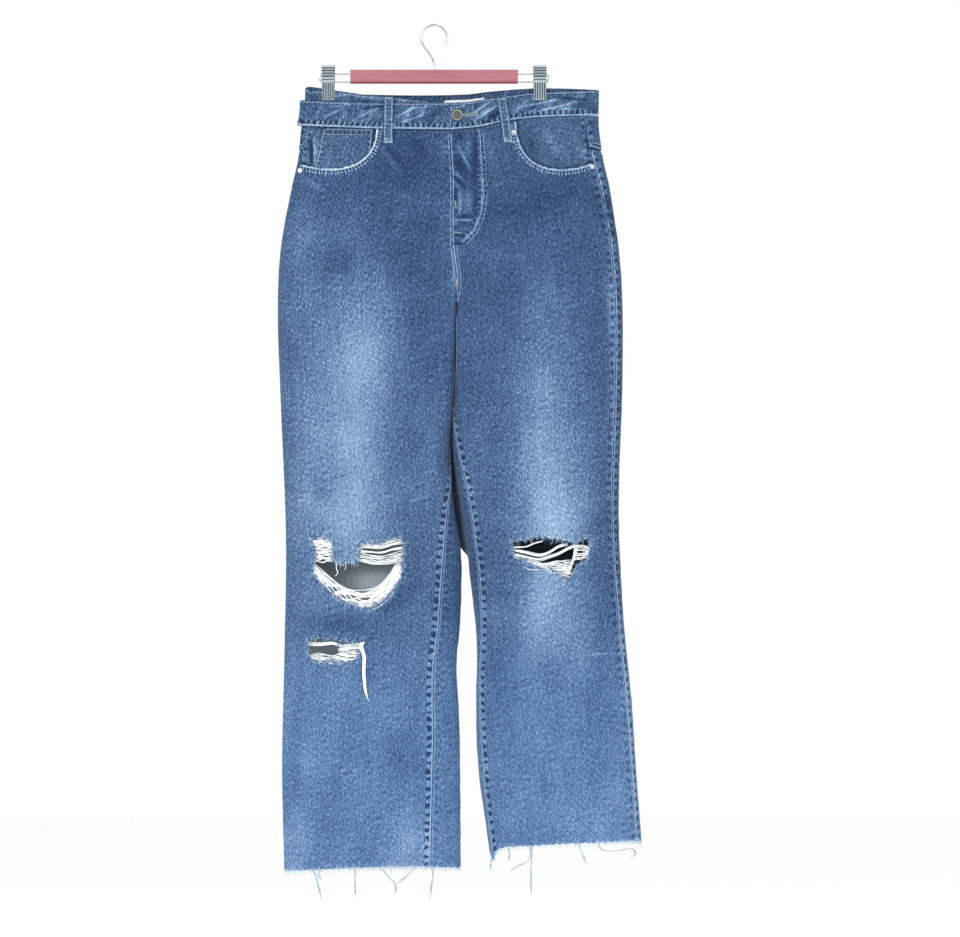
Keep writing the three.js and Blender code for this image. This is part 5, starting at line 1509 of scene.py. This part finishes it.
def jaw(name, x_middle, out, node_name):
    """A bent plate with rolled sides, four pressed ribs above the pin and flutes below it."""
    line = np.array([(12.5, -53.7), (9.25, -60.3), (6, -67), (5.6, -71.5), (5, -80), (3.9, -89),
                     (3.3, -96), (3.3, -100.4)])
    fine = np.linspace(0, 1, 92)
    at = run_along(line) / run_along(line)[-1]
    y, z = np.interp(fine, at, line[:, 0]), np.interp(fine, at, line[:, 1])
    across = np.linspace(-1, 1, 61)
    ribbed = lambda z: ease(-55, -56.5, z) * ease(-71, -69.5, z)
    rib = 0.75 * ribbed(z) * np.maximum(0, np.sin(2 * np.pi * (z + 56) / RIB_PITCH))
    flute = 0.85 * np.maximum(0, np.sin(FLUTES * np.pi * (across + 1))) * (abs(across) < 0.86)
    fluted = (ease(-74, -77, z) * ease(-99.6, -97.5, z))[:, None]
    roll = 1.5 * np.clip((abs(across) - 0.86) / 0.14, 0, 1) ** 2
    points = np.zeros((92, 61, 3))
    points[..., 0] = x_middle + across * CLIP_HALF
    points[..., 1] = out * (y[:, None] + 1.2 + fluted * flute + rib[:, None] * (abs(across) < 0.78) - roll)
    points[..., 2] = z[:, None]
    mesh = bpy.data.meshes.new(name)
    i = np.arange(91 * 61).reshape(91, 61)[:, :-1].ravel()
    quads = np.c_[i, i + 61, i + 62, i + 1]
    if out > 0:
        quads = quads[:, ::-1]
    mesh.from_pydata((points.reshape(-1, 3) / 1000).tolist(), [], quads.tolist())
    piece = add_object(name, mesh)
    wall = piece.modifiers.new("wall", "SOLIDIFY")
    wall.thickness = 0.0011
    wall.offset = -1
    bpy.ops.object.modifier_apply(modifier="wall")
    reach = lambda x: (x - x_middle) / CLIP_HALF
    # Painted shade in the rib and flute troughs, along the rolled sides and across the knee by the pin.
    set_painted_shade(piece, lambda x, y, z: ribbed(z) * (0.5 - 0.75 * np.sin(2 * np.pi * (z + 56) / RIB_PITCH))
               + ease(-74, -77, z) * (0.45 - 0.7 * np.sin(FLUTES * np.pi * (reach(x) + 1)))
               + 0.8 * ease(0.88, 0.97, abs(reach(x))) + 0.9 * ease(1.6, 0.2, abs(z + 72.4)))
    # The ears that take the pin are two tabs bent back from the sides, the back pair inside.
    inset = 0.6 if out < 0 else 2.1
    for end in (-1, 1):
        bpy.ops.mesh.primitive_cylinder_add(
            vertices=28, radius=0.0038, depth=0.0012, rotation=(0, math.pi / 2, 0),
            location=((x_middle + end * (CLIP_HALF - inset)) / 1000, out * 0.0009, PIN_Z / 1000))
        ear = bpy.context.object
        bpy.ops.object.mode_set(mode="EDIT")
        select_faces(ear, lambda c, n: abs(n.z) < 0.9 and (ear.matrix_world @ c).y * out > 0.0035)
        bpy.ops.mesh.extrude_region_move(TRANSFORM_OT_translate={"value": (0, out * 0.0018, 0)})
        bpy.ops.mesh.select_all(action="SELECT")
        bpy.ops.mesh.normals_make_consistent(inside=False)
        bpy.ops.object.mode_set(mode="OBJECT")
        ear.select_set(True)
        piece.select_set(True)
        bpy.context.view_layer.objects.active = piece
        bpy.ops.object.join()
    bpy.ops.object.transform_apply(location=True, rotation=True, scale=True)
    bpy.ops.object.shade_smooth_by_angle(angle=math.radians(35))
    piece.data.materials.append(clip_steel)
    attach(piece, "root")
    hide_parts(node_name)


for side, x_middle in (("right", -CLIP_X), ("left", CLIP_X)):
    for face, out in (("front", -1), ("back", 1)):
        jaw("steel_jaw_%s_%s" % (side, face), x_middle, out, "clip_%s_%s" % (side, face))

# ---- Hook, arms and pins ------------------------------------------------------------------
# Bright drawn steel wire: a 3.2 mm swivel hook screwed into the bar, and 2.2 mm hairpins that
# carry the clips. A coil spring round each pin presses its jaws shut.
bright_wire = flecked("bright_drawn_steel_wire", "#8b9194", "#d5d9da",
                      {"Metallic": 0.8, "Roughness": 0.22}, 260.0, 3.0)[0]


def wire(name, points, radius, node_names=(), smooth=True):
    """A round wire bent along a line of points in mm, with domed ends."""
    curve = bpy.data.curves.new(name, "CURVE")
    curve.dimensions = "3D"
    curve.bevel_depth = radius / 1000
    curve.bevel_resolution = 3
    curve.use_fill_caps = True
    curve.resolution_u = 6
    line = curve.splines.new("BEZIER" if smooth else "POLY")
    if smooth:
        line.bezier_points.add(len(points) - 1)
        for p, place in zip(line.bezier_points, points):
            p.co = Vector(place) / 1000
            p.handle_left_type = p.handle_right_type = "AUTO"
    else:
        line.points.add(len(points) - 1)
        for p, place in zip(line.points, points):
            p.co = (*(Vector(place) / 1000), 1)
    add_object(name, curve)
    bpy.ops.object.convert(target="MESH")
    made = bpy.context.object
    bpy.ops.object.shade_smooth_by_angle(angle=math.radians(50))
    made.data.materials.append(bright_wire)
    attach(made, "root")
    if node_names:
        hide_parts(*node_names)


def ring(middle_x, middle_z, radius, turns):
    """Points round a bend in the plane of the hanger, at turns in degrees."""
    return [(middle_x + radius * math.cos(math.radians(a)), 0,
             middle_z + radius * math.sin(math.radians(a))) for a in turns]


hook = [(0, 0, -58.6), (0, 0, -50), (-3.5, 0, -41.5)] + ring(0, -16, 17.6, np.arange(215, -31, -17.5))
wire("steel_hook", hook, 1.6, ["hanger_hook"])
ARM_OUT = [(113.7, 0, -65), (128.7, 0, -65), (143.65, 0, -65)]
ARM_BACK = [(143.65, 0, -75.7), (128.7, 0, -75.7), (113.7, 0, -75.7)]
SPRING_HALF, SPRING_RADIUS, SPRING_STEPS = 5.2, 2.35, 97
for side, sign in (("right", -1), ("left", 1)):
    arm = ARM_OUT + ring(149.65, PIN_Z, 5.35, range(90, -91, -30)) + ARM_BACK
    wire("steel_arm_" + side, [(sign * x, y, z) for x, y, z in arm], 1.1, ["clip_arm_" + side])
    pin = [(sign * CLIP_X + 9.55 * f, 0, PIN_Z) for f in (-1, -0.94, 0.94, 1)]
    wire("steel_pin_" + side, pin, 1.5, ["clip_pin_" + side], smooth=False)
    coil = []
    for k in range(SPRING_STEPS):
        turn = k * math.pi / 4
        coil.append((sign * CLIP_X + SPRING_HALF * (k / 48 - 1), SPRING_RADIUS * math.cos(turn),
                     PIN_Z + SPRING_RADIUS * math.sin(turn)))
    wire("steel_spring_" + side, coil, 0.45)

# ---- Bar ----------------------------------------------------------------------------------
# A bar of beech, 227 mm long, planed with eased edges, stained a dusty red and varnished.
# The stain is darker in the grain, and the lower edge is darkened with painted shade.
stained_beech, shader = new_material("stained_varnished_beech")
where = node(stained_beech, "ShaderNodeTexCoord")
along = node(stained_beech, "ShaderNodeMapping", [("Vector", (where, 3)),
             ("Scale", (0.055, 0.0022, 0.0022))], vector_type="TEXTURE")
grain = node(stained_beech, "ShaderNodeTexNoise", [("Vector", (along, 0)), ("Scale", 1.0), ("Detail", 5.0),
             ("Distortion", 0.4)])
place = node(stained_beech, "ShaderNodeSeparateXYZ", [(0, (where, 3))])
# Painted shade along the bar's lower edge.
painted_underside_shade = node(stained_beech, "ShaderNodeMapRange", [("Value", (place, 2)), ("From Min", -0.0765),
                ("From Max", -0.0735)], interpolation_type="SMOOTHSTEP")
wood = node(stained_beech, "ShaderNodeMix", [(0, (grain, 0)), (6, linear("#87474f")),
            (7, linear("#a96f79"))], data_type="RGBA")
wood_with_painted_shade = node(stained_beech, "ShaderNodeMix", [(0, (painted_underside_shade, 0)), (6, linear("#6d262f")),
             (7, (wood, 2))], data_type="RGBA")
bump = node(stained_beech, "ShaderNodeBump", [("Height", (grain, 0)), ("Strength", 0.15),
            ("Distance", 0.0003)])
set_inputs(stained_beech, shader, [("Base Color", (wood_with_painted_shade, 2)), ("Normal", (bump, 0)),
                                   ("Roughness", 0.38)])
bpy.ops.object.select_all(action="DESELECT")
bpy.ops.mesh.primitive_cube_add(size=1, location=(0, 0, -0.0684))
bar = bpy.context.object
bar.name = "beech_bar"
bar.scale = (0.2268, 0.012, 0.019)
bpy.ops.object.transform_apply(location=True, rotation=True, scale=True)
bpy.ops.object.mode_set(mode="EDIT")
bpy.ops.mesh.select_all(action="SELECT")
bpy.ops.mesh.bevel(offset=0.0016, segments=4, profile=0.6)
bpy.ops.object.mode_set(mode="OBJECT")
bpy.ops.object.shade_smooth_by_angle(angle=math.radians(35))
bar.data.materials.append(stained_beech)
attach(bar, "root")
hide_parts("hanger_bar")

# ---- Studio: floor, lights and camera -----------------------------------------------------
# A plain pale floor below the hanging jeans, broad soft light from the front and both sides,
# and a long 400 mm lens square on to the front at mid height.
bpy.ops.object.select_all(action="DESELECT")
bpy.ops.mesh.primitive_plane_add(size=14, location=(0, 0, -1.3))
floor = bpy.context.object
floor.name = "studio_floor"
floor_material, shader = new_material("matt_white_studio_floor")
grit = node(floor_material, "ShaderNodeTexNoise", [("Scale", 3.0), ("Detail", 2.0)])
floor_mix = node(floor_material, "ShaderNodeMix", [(0, (grit, 0)), (6, linear("#f6f7f8")),
                 (7, linear("#ffffff"))], data_type="RGBA")
set_inputs(floor_material, shader, [("Base Color", (floor_mix, 2)), ("Roughness", 0.9)])
floor.data.materials.append(floor_material)

world = bpy.data.worlds.new("pale_studio")
bpy.context.scene.world = world
world.use_nodes = True
world.node_tree.nodes["Background"].inputs["Color"].default_value = (1, 1, 1, 1)
world.node_tree.nodes["Background"].inputs["Strength"].default_value = 1.0


def soft_light(name, place, aim, size, power):
    """A square area light, size in m and power in W, turned towards a point."""
    bpy.ops.object.select_all(action="DESELECT")
    bpy.ops.object.light_add(type="AREA", location=place)
    lamp = bpy.context.object
    lamp.name = name
    lamp.data.size = size
    lamp.data.energy = power
    away = np.subtract(place, aim)
    level = math.hypot(away[0], away[1])
    lamp.rotation_euler = (math.atan2(level, away[2]), 0, math.atan2(away[0], -away[1]))


MIDDLE = (0.03, 0, -0.6)
soft_light("key_light", (-1.6, -2.4, 0.6), MIDDLE, 1.6, 42)
soft_light("fill_light", (1.9, -2.2, -0.2), MIDDLE, 1.8, 20)
soft_light("back_light", (0.2, 2.4, 0.8), (0.03, 0, -0.5), 1.8, 30)

bpy.ops.object.camera_add(location=(0.062, -14.42, -0.598), rotation=(math.pi / 2, 0, 0))
camera = bpy.context.object
camera.name = "front_camera"
camera.data.lens = 400
camera.data.sensor_width = 36
bpy.context.scene.camera = camera
bpy.context.scene.view_settings.view_transform = "Standard"
